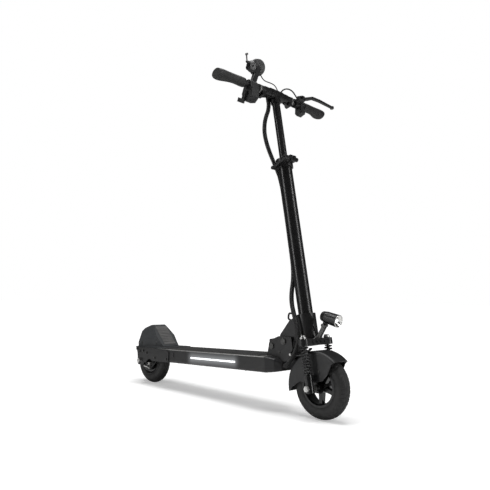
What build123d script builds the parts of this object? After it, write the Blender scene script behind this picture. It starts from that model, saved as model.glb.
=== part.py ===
from build123d import *
from math import atan2, cos, degrees, radians, sin, sqrt, tan
import os

# Electric kick scooter: 8 inch tyres, sprung front fork, height-adjustable stem, fold-down
# handlebar halves, hub motor and drum brake at the rear. Millimetres. +X is forward, +Y is
# the rider's left, +Z is up. The origin is on the floor, midway between the two axles.

# ------------------------------------------------------------------ driving dimensions
WHEELBASE = 930.0
WHEEL_R = 100.0            # 8 inch tyre, 200 x 50
TYRE_W = 50.0
RIM_R = 62.0               # bead seat radius of both wheels
STEM_LEAN = 10.5           # degrees back from upright
FORK_OFFSET = 24.0         # front axle ahead of the steering axis
DECK_PITCH = 2.0           # degrees nose up
DECK_LEN = 631.0
DECK_W = 149.0
DECK_H = 55.0
DECK_FRONT_X = 286.0       # along the deck, ahead of the origin
DECK_MID_Z = 146.5
DECK_WALL = 4.0

BAR_H = 1026.0             # heights up the steering axis, from the front axle's level
CLAMP_H = 766.0
SLEEVE_TOP_H = 231.0
SLEEVE_BOTTOM_H = 152.0
CROWN_TOP_H = 149.0
CROWN_T = 21.0
OUTER_R = 24.0             # outer stem tube
INNER_R = 14.0             # telescopic stem tube
SLEEVE_R = 31.5
TUBE_WALL = 2.5
BAR_HALF = 275.0           # handlebar half width, to the grip's end
BAR_R = 11.1               # 22.2 mm handlebar
LIFT = 140.0               # how far the stem telescopes down

RUN = 0.05                 # radial clearance of a shaft that turns or slides in its bore
GAP = 0.3                  # gap between pieces on different moving bodies

os.makedirs("parts", exist_ok=True)


def save(builder, name):
    """Label a finished piece and write its STEP file."""
    builder.part.label = name
    export_step(builder.part, f"parts/{name}.step")


def tilted(x, z, angle, y=0.0):
    """A plane at (x, y, z) whose Z leans back and whose X rises by angle degrees."""
    a = radians(angle)
    return Plane(origin=(x, y, z), x_dir=(cos(a), 0, sin(a)), z_dir=(-sin(a), 0, cos(a)))


def side(plane, y=0.0):
    """The vertical fore-and-aft plane of a tilted plane: sketch X forward, sketch Y up."""
    at = plane.origin + plane.y_dir * y
    return Plane(origin=at, x_dir=plane.x_dir, z_dir=-plane.y_dir)


# ------------------------------------------------------------------ shared frames
FRONT_X = WHEELBASE / 2
REAR_X = -WHEELBASE / 2
deck_plane = tilted(0, DECK_MID_Z, DECK_PITCH)
LEAN = radians(STEM_LEAN)
stem_foot_x = FRONT_X - FORK_OFFSET * cos(LEAN)
stem_foot_z = WHEEL_R - FORK_OFFSET * sin(LEAN)
stem_plane = tilted(stem_foot_x, stem_foot_z, STEM_LEAN)
floor_side = Plane(origin=(0, 0, 0), x_dir=(1, 0, 0), z_dir=(0, -1, 0))


def stem_at(h, x=0.0, y=0.0):
    """A plane square to the steering axis, h up it, x forward and y left of it."""
    o = stem_plane.origin + stem_plane.z_dir * h + stem_plane.x_dir * x + stem_plane.y_dir * y
    return Plane(origin=o, x_dir=stem_plane.x_dir, z_dir=stem_plane.z_dir)


def stem_side(h, x=0.0, y=0.0, up=0.0):
    """A plane facing right beside the steering axis: sketch X forward, sketch Y up the axis."""
    return side(stem_at(h + up, x), y)


def stem_point(h, x=0.0, y=0.0):
    """A point given in the steering axis's own frame."""
    return stem_at(h, x, y).origin


def deck_at(x, y, z):
    """A plane on the deck's own axes, at a place measured along, across and above it."""
    o = deck_plane.origin + deck_plane.x_dir * x + deck_plane.y_dir * y + deck_plane.z_dir * z
    return Plane(origin=o, x_dir=deck_plane.x_dir, z_dir=deck_plane.z_dir)


def across(x, y, z):
    """A plane facing left at a place in the model's frame: sketch X forward, sketch Y up."""
    return Plane(origin=(x, y, z), x_dir=(1, 0, 0), z_dir=(0, -1, 0))


# ------------------------------------------------------------------ deck
MAT_T = 2.5
LID_T = 3.0
DECK_REAR_X = DECK_FRONT_X - DECK_LEN
deck_mid_x = (DECK_FRONT_X + DECK_REAR_X) / 2
frame_h = DECK_H - MAT_T - LID_T
frame_top = DECK_H / 2 - MAT_T - LID_T
CORNER_R = 8.0
LIGHT_LEN = 254.0
LIGHT_H = 5.5
LIGHT_T = 1.5
LIGHT_X = 16.0
LIGHT_Z = -1.0
PORT_X = -231.0
PORT_W = 22.0
PORT_H = 16.0
PORT_Z = 3.0

with BuildPart() as deck_frame:
    with BuildSketch(deck_at(deck_mid_x, 0, -DECK_H / 2)):
        Rectangle(DECK_LEN, DECK_W)
    extrude(amount=frame_h)
    fillet(deck_frame.edges().filter_by(Axis(origin=(0, 0, 0), direction=tuple(deck_plane.x_dir)))
           .group_by(Axis.Z)[0], CORNER_R)
    with BuildSketch(deck_at(deck_mid_x, 0, frame_top)):
        Rectangle(DECK_LEN - 2 * DECK_WALL, DECK_W - 2 * DECK_WALL)
    extrude(amount=-(frame_h - DECK_WALL), mode=Mode.SUBTRACT)
    for edge in (-1, 1):
        with BuildSketch(side(deck_at(LIGHT_X, 0, LIGHT_Z), edge * DECK_W / 2)):
            SlotOverall(LIGHT_LEN, LIGHT_H)
        extrude(amount=edge * LIGHT_T, mode=Mode.SUBTRACT)
    with BuildSketch(side(deck_at(PORT_X, 0, PORT_Z), -DECK_W / 2)):
        RectangleRounded(PORT_W, PORT_H, 3)
    extrude(amount=-DECK_WALL, mode=Mode.SUBTRACT)
save(deck_frame, "deck_frame")

with BuildPart() as side_lights:
    for edge in (-1, 1):
        with BuildSketch(side(deck_at(LIGHT_X, 0, LIGHT_Z), edge * DECK_W / 2)):
            SlotOverall(LIGHT_LEN, LIGHT_H)
        extrude(amount=edge * LIGHT_T)
save(side_lights, "side_lights")


with BuildPart() as deck_lid:
    with BuildSketch(deck_at(deck_mid_x, 0, frame_top)):
        Rectangle(DECK_LEN, DECK_W)
    extrude(amount=LID_T)
save(deck_lid, "deck_lid")

MAT_INSET = 4.0
MAT_LEN = 545.0
MAT_X = -21.5
MAT_RIB = 1.0
MAT_PITCH = 18.0
with BuildPart() as grip_mat:
    with BuildSketch(deck_at(MAT_X, 0, frame_top + LID_T)):
        RectangleRounded(MAT_LEN, DECK_W - 2 * MAT_INSET, 6)
    extrude(amount=MAT_T - MAT_RIB)
    with BuildSketch(deck_at(MAT_X, 0, frame_top + LID_T + MAT_T - MAT_RIB)):
        with GridLocations(0, MAT_PITCH, 1, 7):
            Rectangle(MAT_LEN - 20, MAT_PITCH - 6)
    extrude(amount=MAT_RIB)
save(grip_mat, "grip_mat")

CELL_CLEAR = 3.0
with BuildPart() as power_pack:
    with BuildSketch(deck_at(60, 0, -DECK_H / 2 + DECK_WALL)):
        RectangleRounded(380, DECK_W - 2 * DECK_WALL - 2 * CELL_CLEAR, 5)
    extrude(amount=frame_h - DECK_WALL - CELL_CLEAR)
    with BuildSketch(deck_at(-260, 0, -DECK_H / 2 + DECK_WALL)):
        RectangleRounded(110, 80, 4)
    extrude(amount=frame_h - DECK_WALL - CELL_CLEAR)
    with BuildSketch(side(deck_at(PORT_X, 0, PORT_Z), -DECK_W / 2 + DECK_WALL)):
        RectangleRounded(PORT_W + 6, PORT_H + 6, 3)
    extrude(amount=-2)
    with BuildSketch(side(deck_at(PORT_X, 0, PORT_Z), -DECK_W / 2 + DECK_WALL)):
        Circle(5.5)
        Circle(1, mode=Mode.SUBTRACT)
    extrude(amount=2)
save(power_pack, "power_pack")

CAP_PIN_R = 1.0
cap_hinge = deck_at(PORT_X, -DECK_W / 2 - CAP_PIN_R - GAP, PORT_Z - PORT_H / 2 - 1.2)
with BuildPart() as charge_cap:
    with BuildSketch(side(deck_at(PORT_X, 0, PORT_Z), -DECK_W / 2 + 1.2)):
        RectangleRounded(PORT_W - 1.2, PORT_H - 1.2, 2.4)
    extrude(amount=1.2 + GAP)
    with BuildSketch(side(deck_at(PORT_X, 0, PORT_Z), -DECK_W / 2 - GAP)):
        RectangleRounded(PORT_W + 2, PORT_H + 2, 3)
    extrude(amount=2)
save(charge_cap, "charge_cap")

# ------------------------------------------------------------------ fold pivot and deck nose
FOLD_X = 336.0
FOLD_Z = 232.0
FOLD_DEG = 77.0
ARM_R = 64.0               # outer radius of the curved nose arms about the fold pivot
ARM_Y = 32.5
ARM_T = 5.0
SLOT_R = 50.0
LOCK_R = 4.0
LOCK_CLEAR = 0.6
LOCK_DEG = -53.0
HUB_R = 30.0
PIVOT_R = 6.0
CAM_X = 283.0
CAM_Z = 214.0
CAM_R = 31.0
NOSE_TIP_X = 333.0
lock_x = FOLD_X + SLOT_R * cos(radians(LOCK_DEG))
lock_z = FOLD_Z + SLOT_R * sin(radians(LOCK_DEG))

# stations of the moulded nose: distance ahead of the deck, width, height, lift of its underside
nose_stations = ((0, DECK_W, DECK_H - MAT_T, 0), (30, DECK_W - 26, DECK_H - 12, 3),
                 (46, DECK_W - 66, DECK_H - 26, 7))
with BuildPart() as nose_cap:
    for ahead, width, height, lift in nose_stations:
        at = deck_at(DECK_FRONT_X + ahead, 0, -DECK_H / 2 + lift + height / 2)
        with BuildSketch(Plane(origin=at.origin, x_dir=(0, 1, 0), z_dir=tuple(at.x_dir))):
            RectangleRounded(width, height, CORNER_R)
    loft(ruled=True)
save(nose_cap, "nose_cap")


def nose_top(station):
    """Fore-and-aft and height of the nose's upper surface at one of its stations."""
    ahead, _, height, lift = nose_stations[station]
    top = deck_at(DECK_FRONT_X + ahead, 0, -DECK_H / 2 + lift + height).origin
    return top.X, top.Z


ARM_TOP = 16.0             # how far the arms rise above the fold's axis
FENDER_SWEEP_R = 127.5     # room for the front fender at full fork travel
lid_back = deck_at(262, 0, DECK_H / 2 - MAT_T).origin
crown_sweep = [stem_point(123, -44), stem_point(123, 60), stem_point(260, 60), stem_point(260, -44)]
with BuildPart() as nose_arms:
    for y in (-ARM_Y, ARM_Y + ARM_T):
        with BuildSketch(across(0, y, 0)):
            with Locations((FOLD_X, FOLD_Z)):
                Circle(ARM_R)
            with BuildLine():
                Polyline((lid_back.X, lid_back.Z), nose_top(0), nose_top(1), (345, FOLD_Z - ARM_R + 6),
                         (FOLD_X, FOLD_Z), (272, 226), close=True)
            make_face()
            with BuildLine():
                Polyline((lid_back.X - 60, lid_back.Z - 2), nose_top(0), nose_top(1), nose_top(2),
                         (nose_top(2)[0], 100), (lid_back.X - 60, 100), close=True)
            make_face(mode=Mode.SUBTRACT)
            with BuildLine():
                Polyline(*[(p.X, p.Z) for p in crown_sweep], close=True)
            make_face(mode=Mode.SUBTRACT)
            with Locations((FOLD_X, FOLD_Z + ARM_R)):
                Rectangle(2 * ARM_R, 2 * (ARM_R - ARM_TOP), mode=Mode.SUBTRACT)
            with Locations((FRONT_X, WHEEL_R)):
                Circle(FENDER_SWEEP_R, mode=Mode.SUBTRACT)
            with BuildLine():
                Polyline((CAM_X - ARM_R, CAM_Z - 2), (CAM_X - 26, CAM_Z - 2), (CAM_X - 20, CAM_Z + 14),
                         (CAM_X - 8, CAM_Z + 23), (CAM_X + 10, CAM_Z + 26), (CAM_X + 30, FOLD_Z + ARM_TOP),
                         (CAM_X + 30, CAM_Z + ARM_R), (CAM_X - ARM_R, CAM_Z + ARM_R), close=True)
            make_face(mode=Mode.SUBTRACT)
        extrude(amount=ARM_T)
        with BuildSketch(across(0, y, 0)):
            with Locations((FOLD_X, FOLD_Z)):
                Circle(PIVOT_R)
                Circle(SLOT_R + LOCK_R + LOCK_CLEAR)
                Circle(SLOT_R - LOCK_R - LOCK_CLEAR, mode=Mode.SUBTRACT)
                Circle(PIVOT_R)
            with BuildLine():
                Polyline((FOLD_X, FOLD_Z), (lock_x, lock_z), (lock_x + 100, lock_z - 20),
                         (FOLD_X + 200, FOLD_Z + 200), (FOLD_X, FOLD_Z + 60), close=True)
            make_face(mode=Mode.INTERSECT)
            with Locations((lock_x, lock_z)):
                Circle(LOCK_R + LOCK_CLEAR)
            with Locations((FOLD_X, FOLD_Z), (CAM_X, CAM_Z)):
                Circle(PIVOT_R)
        extrude(amount=ARM_T, mode=Mode.SUBTRACT)
save(nose_arms, "nose_arms")

# ------------------------------------------------------------------ latch pedal behind the pivot
PEDAL_Y = 28.0
PEDAL_R = 23.5
PEDAL_FLAT = 18.0          # the flat that faces the folded neck, out from the pedal's axis
PEDAL_FLAT_DEG = 36.6
with BuildPart() as latch_pedal:
    with BuildSketch(across(0, PEDAL_Y, 0)):
        with Locations((CAM_X, CAM_Z)):
            Circle(PEDAL_R)
            Circle(PIVOT_R + RUN, mode=Mode.SUBTRACT)
            with PolarLocations(PEDAL_FLAT + PEDAL_R / 2, 1, start_angle=PEDAL_FLAT_DEG):
                Rectangle(PEDAL_R, 2 * PEDAL_R, mode=Mode.SUBTRACT)
    extrude(amount=2 * PEDAL_Y)
save(latch_pedal, "latch_pedal")

# ------------------------------------------------------------------ rear wheel, drum brake, mountings
AXLE_R = 6.0
PLATE_T = 3.0
DROPOUT_T = 6.0
DROPOUT_FRONT_X = -349.0
DRUM_Y = 27.0
BRAKE_PLATE_T = 7.0
dropout_y = DECK_W / 2
lid_z = DECK_H / 2 - MAT_T
dropout_bolts = ((-484, 148), (-466, 139), (-440, 143), (-412, 137), (-352, 120), (-268, 122))
with BuildPart() as rear_plates:
    for edge in (-1, 1):
        with BuildSketch(across(0, edge * dropout_y, 0)):
            with BuildLine():
                Polyline((-252, 110.5), (-252, 150), (-270, 160), (-496, 157), (-490, 142),
                         (-470, 131), (-400, 131), (-372, 106), close=True)
            make_face()
        extrude(amount=-edge * PLATE_T)
    for edge in (-1, 1):
        with BuildSketch(across(0, edge * dropout_y, 0)):
            with BuildLine():
                Polyline((-492, 152), (-349, 156), (-349, 112), (-400, 112), (-448, 82),
                         (-482, 82), (-486, 120), close=True)
            make_face()
            fillet(vertices(), 5)
            with Locations((REAR_X, WHEEL_R)):
                Circle(AXLE_R, mode=Mode.SUBTRACT)
        extrude(amount=edge * DROPOUT_T)
    with BuildSketch(across(0, dropout_y - DROPOUT_T, 0)):
        with BuildLine():
            Polyline((DROPOUT_FRONT_X, 155), (DROPOUT_FRONT_X, 112), (-356, 116), (-356, 155), close=True)
        make_face()
    extrude(amount=2 * (dropout_y - DROPOUT_T))
save(rear_plates, "rear_plates")

HUB_HALF = 24.0
with BuildPart() as rear_axle:
    with BuildSketch(across(REAR_X, dropout_y + 10, WHEEL_R)):
        Circle(AXLE_R)
    extrude(amount=2 * (dropout_y + 10))
    for edge in (-1, 1):
        with BuildSketch(across(REAR_X, edge * dropout_y, WHEEL_R)):
            RegularPolygon(10.5, 6)
        extrude(amount=-edge * 9)
    with BuildSketch(across(REAR_X, dropout_y - DROPOUT_T, WHEEL_R)):
        Circle(12)
    extrude(amount=dropout_y - DROPOUT_T - HUB_HALF - 1)
save(rear_axle, "rear_axle")

with BuildPart() as deck_bolts:
    for x, z in ((FOLD_X, FOLD_Z), (CAM_X, CAM_Z)):
        with BuildSketch(across(x, ARM_Y + ARM_T, z)):
            Circle(PIVOT_R)
        extrude(amount=2 * (ARM_Y + ARM_T))
        for edge in (-1, 1):
            with BuildSketch(across(x, edge * (ARM_Y + ARM_T), z)):
                Circle(PIVOT_R + 4)
            extrude(amount=-edge * 4)
    for edge in (-1, 1):
        for x, z in dropout_bolts:
            with BuildSketch(across(x, edge * (dropout_y + PLATE_T), z)):
                Circle(5)
            extrude(amount=-edge * 3)
save(deck_bolts, "deck_bolts")

with BuildPart() as hub_motor:
    with BuildSketch(Plane(origin=(REAR_X, 0, WHEEL_R), x_dir=(0, 1, 0), z_dir=(1, 0, 0))):
        with BuildLine():
            Polyline((-HUB_HALF, AXLE_R + RUN), (-HUB_HALF, 20), (-HUB_HALF + 4, 52), (-HUB_HALF, 60),
                     (-HUB_HALF + 1, RIM_R), (HUB_HALF - 1, RIM_R), (HUB_HALF, 60),
                     (HUB_HALF - 4, 52), (HUB_HALF, 20), (HUB_HALF, AXLE_R + RUN), close=True)
        make_face()
    revolve(axis=Axis((REAR_X, 0, WHEEL_R), (0, 1, 0)))
save(hub_motor, "hub_motor")


def tyre(builder_name, centre_x):
    """A pneumatic tyre: round shoulders, flat tread with circumferential grooves."""
    with BuildPart() as ring:
        with BuildSketch(Plane(origin=(centre_x, 0, WHEEL_R), x_dir=(0, 1, 0), z_dir=(1, 0, 0))):
            with BuildLine():
                half = TYRE_W / 2
                Polyline((-half + 3, RIM_R), (half - 3, RIM_R), (half, RIM_R + 14))
                ThreePointArc((half, RIM_R + 14), (half - 6, WHEEL_R - 8), (0, WHEEL_R))
                ThreePointArc((0, WHEEL_R), (-half + 6, WHEEL_R - 8), (-half, RIM_R + 14))
                Line((-half, RIM_R + 14), (-half + 3, RIM_R))
            make_face()
        revolve(axis=Axis((centre_x, 0, WHEEL_R), (0, 1, 0)))
    save(ring, builder_name)


tyre("rear_tyre", REAR_X)

with BuildPart() as brake_plate:
    with BuildSketch(across(REAR_X, -DRUM_Y, WHEEL_R)):
        Circle(46)
        Circle(AXLE_R, mode=Mode.SUBTRACT)
    extrude(amount=BRAKE_PLATE_T)
    with BuildSketch(across(REAR_X, -DRUM_Y - BRAKE_PLATE_T, WHEEL_R)):
        Circle(14)
        Circle(AXLE_R, mode=Mode.SUBTRACT)
    extrude(amount=dropout_y - DROPOUT_T - DRUM_Y - BRAKE_PLATE_T)
    with BuildSketch(across(REAR_X - 28, -DRUM_Y, WHEEL_R + 20)):
        Circle(5)
    extrude(amount=BRAKE_PLATE_T + 6)
save(brake_plate, "brake_plate")

ARM_OFF_Y = DRUM_Y + BRAKE_PLATE_T + GAP
with BuildPart() as brake_arm:
    with BuildSketch(across(REAR_X - 28, -ARM_OFF_Y, WHEEL_R + 20)):
        with BuildLine():
            Polyline((-9, 6), (9, 6), (5, -52), (-5, -52), close=True)
        make_face()
        Circle(10)
        Circle(5 + RUN, mode=Mode.SUBTRACT)
    extrude(amount=4)
save(brake_arm, "brake_arm")

cable_z = WHEEL_R + 20 - 46
cable_y = -ARM_OFF_Y - 4 - 7
with BuildPart() as adjuster:
    with BuildSketch(Plane(origin=(REAR_X + 22, cable_y, cable_z), x_dir=(0, 1, 0), z_dir=(-1, 0, 0))):
        Circle(4.5)
    extrude(amount=30)
    with BuildSketch(Plane(origin=(REAR_X + 22, cable_y, cable_z), x_dir=(0, 1, 0), z_dir=(-1, 0, 0))):
        RegularPolygon(7, 6)
    extrude(amount=7)
    with BuildSketch(across(REAR_X + 18, -DRUM_Y - BRAKE_PLATE_T, cable_z + 4)):
        Rectangle(12, 26)
    extrude(amount=-cable_y - 4 - DRUM_Y - BRAKE_PLATE_T)
save(adjuster, "adjuster")

# ------------------------------------------------------------------ rear fender
FENDER_WALL = 3.0
FENDER_HALF = 70.0
HOOD_FOOT_HALF = 66.0
FENDER_TOP_HALF = 29.0     # half width of its top, and the height there
FENDER_TOP_Z = 254.0
SHOULDER_Z = 165.0         # where its sides begin to lean in
fender_outline = ((-343, 150), (-343, 167), (-428, 247), (-438, 252), (-452, 250), (-490, 236),
                  (-506, 222), (-500, 150))
fender_inside = ((-350, 140), (-350, 168), (-429, 242.5), (-438, 248), (-451, 246.5), (-480, 233),
                 (-540, 214), (-540, 140))
FLANGE_T = 4.0
FLANGE_FROM_X = -299.0
FLANGE_TO_X = -506.0
# half widths of the hood seen from above, and of its inside, front to rear
plan_halves = ((-343, 40), (-470, 62), (-545, 62))


def lid_height(x):
    """Height of the deck lid's upper face at a place along the deck."""
    p = deck_at(x, 0, lid_z).origin
    return p.Z + (x - p.X) * tan(radians(DECK_PITCH))


tail_plane = Plane(origin=(-498, 0, 229), x_dir=(0, 1, 0), z_dir=(-0.658, 0, 0.752))
TAIL_W = 52.0
TAIL_H = 13.0
front_view = Plane(origin=(0, 0, 0), x_dir=(0, 1, 0), z_dir=(1, 0, 0))
hood_corners = ((-1, HOOD_FOOT_HALF, 0), (-1, HOOD_FOOT_HALF, SHOULDER_Z), (-1, FENDER_TOP_HALF, FENDER_TOP_Z),
                (1, FENDER_TOP_HALF, FENDER_TOP_Z), (1, HOOD_FOOT_HALF, SHOULDER_Z), (1, HOOD_FOOT_HALF, 0))
hood_plan = ([(x, half, -1) for x, half in plan_halves]
             + [(x, half, 1) for x, half in reversed(plan_halves)])
with BuildPart() as fender_core:
    with BuildSketch(floor_side):
        with BuildLine():
            Polyline(*fender_inside, close=True)
        make_face()
    extrude(amount=FENDER_HALF, both=True)
    with BuildSketch(front_view):
        with BuildLine():
            Polyline(*[(edge * (half - FENDER_WALL), z) for edge, half, z in hood_corners], close=True)
        make_face()
    extrude(amount=WHEELBASE, both=True, mode=Mode.INTERSECT)
    with BuildSketch():
        with BuildLine():
            Polyline(*[(x, edge * (half - FENDER_WALL)) for x, half, edge in hood_plan], close=True)
        make_face()
    extrude(amount=WHEELBASE, mode=Mode.INTERSECT)

with BuildPart() as rear_fender:
    with BuildSketch(floor_side):
        with BuildLine():
            Polyline(*fender_outline, close=True)
        make_face()
    extrude(amount=FENDER_HALF, both=True)
    with BuildSketch(front_view):
        with BuildLine():
            Polyline(*[(edge * half, z) for edge, half, z in hood_corners], close=True)
        make_face()
    extrude(amount=WHEELBASE, both=True, mode=Mode.INTERSECT)
    with BuildSketch():
        with BuildLine():
            Polyline(*[(x, edge * half) for x, half, edge in hood_plan], close=True)
        make_face()
    extrude(amount=WHEELBASE, mode=Mode.INTERSECT)
    with BuildSketch(floor_side):
        with BuildLine():
            Polyline((FLANGE_FROM_X, lid_height(FLANGE_FROM_X)),
                     (FLANGE_FROM_X, lid_height(FLANGE_FROM_X) + FLANGE_T),
                     (FLANGE_TO_X, lid_height(FLANGE_TO_X) + FLANGE_T),
                     (FLANGE_TO_X, lid_height(FLANGE_TO_X)), close=True)
        make_face()
    extrude(amount=FENDER_HALF, both=True)
    add(fender_core.part, mode=Mode.SUBTRACT)
    with BuildSketch(floor_side):
        with BuildLine():
            Polyline((-200, lid_height(-200)), (-600, lid_height(-600)), (-600, 0), (-200, 0), close=True)
        make_face()
    extrude(amount=FENDER_HALF + 40, both=True, mode=Mode.SUBTRACT)
    with BuildSketch(tail_plane):
        RectangleRounded(TAIL_W, TAIL_H, 5)
    extrude(amount=9, both=True, mode=Mode.SUBTRACT)
save(rear_fender, "rear_fender")

TREAD_T = 1.6
slope_foot, slope_top = fender_outline[1:3]
tread_from = (slope_foot[0] - 4, slope_foot[1] + 4 * (slope_top[1] - slope_foot[1])
              / (slope_foot[0] - slope_top[0]))
tread_to = slope_top
tread_len = sqrt((tread_to[0] - tread_from[0]) ** 2 + (tread_to[1] - tread_from[1]) ** 2)
tread_angle = degrees(atan2(tread_to[1] - tread_from[1], tread_from[0] - tread_to[0]))
tread_mid = ((tread_from[0] + tread_to[0]) / 2, (tread_from[1] + tread_to[1]) / 2)
with BuildPart() as fender_tread:
    with BuildSketch(tilted(tread_mid[0], tread_mid[1], -tread_angle)):
        Rectangle(tread_len - 8, 56)
    extrude(amount=TREAD_T)
    with BuildSketch(tilted(tread_mid[0], tread_mid[1], -tread_angle).offset(TREAD_T)):
        with GridLocations(9, 0, 9, 1):
            Rectangle(4, 52)
    extrude(amount=1.4)
save(fender_tread, "fender_tread")

with BuildPart() as tail_light:
    with BuildSketch(tail_plane.offset(-8)):
        RectangleRounded(TAIL_W, TAIL_H, 5)
    extrude(amount=11)
save(tail_light, "tail_light")

# ------------------------------------------------------------------ kickstand
STAND_X = 70.0
STAND_Y = 58.0
STAND_DROP = 10.0
STAND_LEN = 106.0
STAND_R = 5.5
STAND_PIN_R = 4.0
stand_pivot = deck_at(STAND_X, STAND_Y, -DECK_H / 2 - STAND_DROP).origin
with BuildPart() as stand_bracket:
    with BuildSketch(deck_at(STAND_X, STAND_Y, -DECK_H / 2)):
        RectangleRounded(40, 30, 3)
    extrude(amount=-2.5)
    for y in (STAND_Y - 9, STAND_Y + 13):
        with BuildSketch(across(stand_pivot.X, y, stand_pivot.Z)):
            Rectangle(18, 18, align=(Align.CENTER, Align.MIN))
            Circle(9)
            Circle(STAND_PIN_R, mode=Mode.SUBTRACT)
        extrude(amount=4)
    with BuildSketch(deck_at(STAND_X, STAND_Y, -DECK_H / 2)):
        Rectangle(60, 60)
    extrude(amount=30, mode=Mode.SUBTRACT)
    with BuildSketch(across(stand_pivot.X, STAND_Y + 13, stand_pivot.Z)):
        Circle(STAND_PIN_R)
    extrude(amount=26)
save(stand_bracket, "stand_bracket")

with BuildPart() as stand_leg:
    with BuildSketch(across(stand_pivot.X, STAND_Y + 8, stand_pivot.Z)):
        Circle(STAND_R + 1)
        Circle(STAND_PIN_R + RUN, mode=Mode.SUBTRACT)
    extrude(amount=16)
    with BuildSketch(Plane(origin=(stand_pivot.X - STAND_PIN_R - 1.8, STAND_Y, stand_pivot.Z),
                           x_dir=(0, 1, 0), z_dir=(-1, 0, -0.04))):
        Circle(STAND_R)
    extrude(amount=STAND_LEN - 14)
    with BuildSketch(Plane(origin=(stand_pivot.X - STAND_LEN + 11, STAND_Y, stand_pivot.Z - 4),
                           x_dir=(0, 1, 0), z_dir=(-1, 0, -0.04))):
        Circle(STAND_R + 2.5)
    extrude(amount=12)
save(stand_leg, "stand_leg")

# ------------------------------------------------------------------ neck: folds back over the deck
HUB_HALF_Y = 28.0
STEERER_R = 15.0
SLEEVE_BORE_R = 26.0
BEARING_H = 12.0
gusset_rear = (313, 254)
sleeve_back_top = stem_point(SLEEVE_TOP_H - 6, -SLEEVE_R + 4)
sleeve_back_low = stem_point(SLEEVE_BOTTOM_H, -SLEEVE_R + 4)
web_low = stem_point(SLEEVE_BOTTOM_H, -46)
web_foot = stem_point(121, -55)
HOOK_ROD = 3.2
hook_root = stem_point(SLEEVE_TOP_H - 14, -SLEEVE_R + 2)
with BuildPart() as neck:
    with BuildSketch(across(0, HUB_HALF_Y, 0)):
        with BuildLine():
            Polyline(gusset_rear, (352, 300), (sleeve_back_top.X, sleeve_back_top.Z),
                     (sleeve_back_low.X, sleeve_back_low.Z), (web_low.X, web_low.Z),
                     (web_foot.X, web_foot.Z), (lock_x, lock_z), (FOLD_X, FOLD_Z - HUB_R),
                     (FOLD_X - HUB_R, FOLD_Z), close=True)
        make_face()
        with Locations((FOLD_X, FOLD_Z)):
            Circle(HUB_R)
        with Locations((lock_x, lock_z)):
            Circle(LOCK_R + 2.5)
        with Locations((FOLD_X, FOLD_Z)):
            Circle(PIVOT_R + RUN, mode=Mode.SUBTRACT)
        with Locations((lock_x, lock_z)):
            Circle(LOCK_R, mode=Mode.SUBTRACT)
    extrude(amount=2 * HUB_HALF_Y)
    with BuildLine():
        FilletPolyline((hook_root.X, 0, hook_root.Z), (346, 0, 322), (326, 0, 324), (323, 0, 304),
                       (338, 0, 300), radius=7)
    with BuildSketch(Plane(origin=hook_root, x_dir=(0, 1, 0),
                           z_dir=(346 - hook_root.X, 0, 322 - hook_root.Z))):
        Circle(HOOK_ROD)
    sweep()
    with BuildSketch(stem_at(SLEEVE_BOTTOM_H)):
        Circle(SLEEVE_R)
    extrude(amount=SLEEVE_TOP_H - SLEEVE_BOTTOM_H)
    with BuildSketch(stem_at(SLEEVE_BOTTOM_H)):
        Circle(SLEEVE_BORE_R)
    extrude(amount=SLEEVE_TOP_H - SLEEVE_BOTTOM_H, mode=Mode.SUBTRACT)
save(neck, "neck")

with BuildPart() as neck_hardware:
    with BuildSketch(across(lock_x, ARM_Y + ARM_T + 3, lock_z)):
        Circle(LOCK_R)
    extrude(amount=2 * (ARM_Y + ARM_T + 3))
    for h in (SLEEVE_BOTTOM_H, SLEEVE_TOP_H - BEARING_H):
        with BuildSketch(stem_at(h)):
            Circle(SLEEVE_BORE_R)
            Circle(STEERER_R + RUN, mode=Mode.SUBTRACT)
        extrude(amount=BEARING_H)
save(neck_hardware, "neck_hardware")

# ------------------------------------------------------------------ steering column and crown
OUTER_LOW_H = SLEEVE_TOP_H + GAP
OUTER_TOP_H = CLAMP_H - 12
SHOCK_X = FORK_OFFSET
SHOCK_Y = 60.0
LOBE_R = 17.0
CROWN_H = CROWN_TOP_H - CROWN_T
ROD_R = 5.0
TRAVEL = 14.0
ROD_LOW_H = 8.0 + TRAVEL
with BuildPart() as outer_tube:
    with BuildSketch(stem_at(CROWN_H)):
        Circle(STEERER_R)
    extrude(amount=OUTER_LOW_H - CROWN_H)
    with BuildSketch(stem_at(OUTER_LOW_H)):
        Circle(OUTER_R)
    extrude(amount=OUTER_TOP_H - OUTER_LOW_H)
    with BuildSketch(stem_at(CROWN_H)):
        Circle(STEERER_R - TUBE_WALL)
    extrude(amount=OUTER_LOW_H - CROWN_H + 20, mode=Mode.SUBTRACT)
    with BuildSketch(stem_at(OUTER_LOW_H + 20)):
        Circle(OUTER_R - TUBE_WALL)
    extrude(amount=OUTER_TOP_H - OUTER_LOW_H, mode=Mode.SUBTRACT)
save(outer_tube, "outer_tube")

with BuildPart() as crown:
    with BuildSketch(stem_at(CROWN_H)):
        Circle(SLEEVE_R - 1)
        with Locations((SHOCK_X, 0)):
            Rectangle(28, 2 * SHOCK_Y)
        with Locations((SHOCK_X, -SHOCK_Y), (SHOCK_X, SHOCK_Y)):
            Circle(LOBE_R)
        Circle(STEERER_R, mode=Mode.SUBTRACT)
        with Locations((SHOCK_X, -SHOCK_Y), (SHOCK_X, SHOCK_Y)):
            Circle(ROD_R, mode=Mode.SUBTRACT)
    extrude(amount=CROWN_T)
save(crown, "crown")

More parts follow.
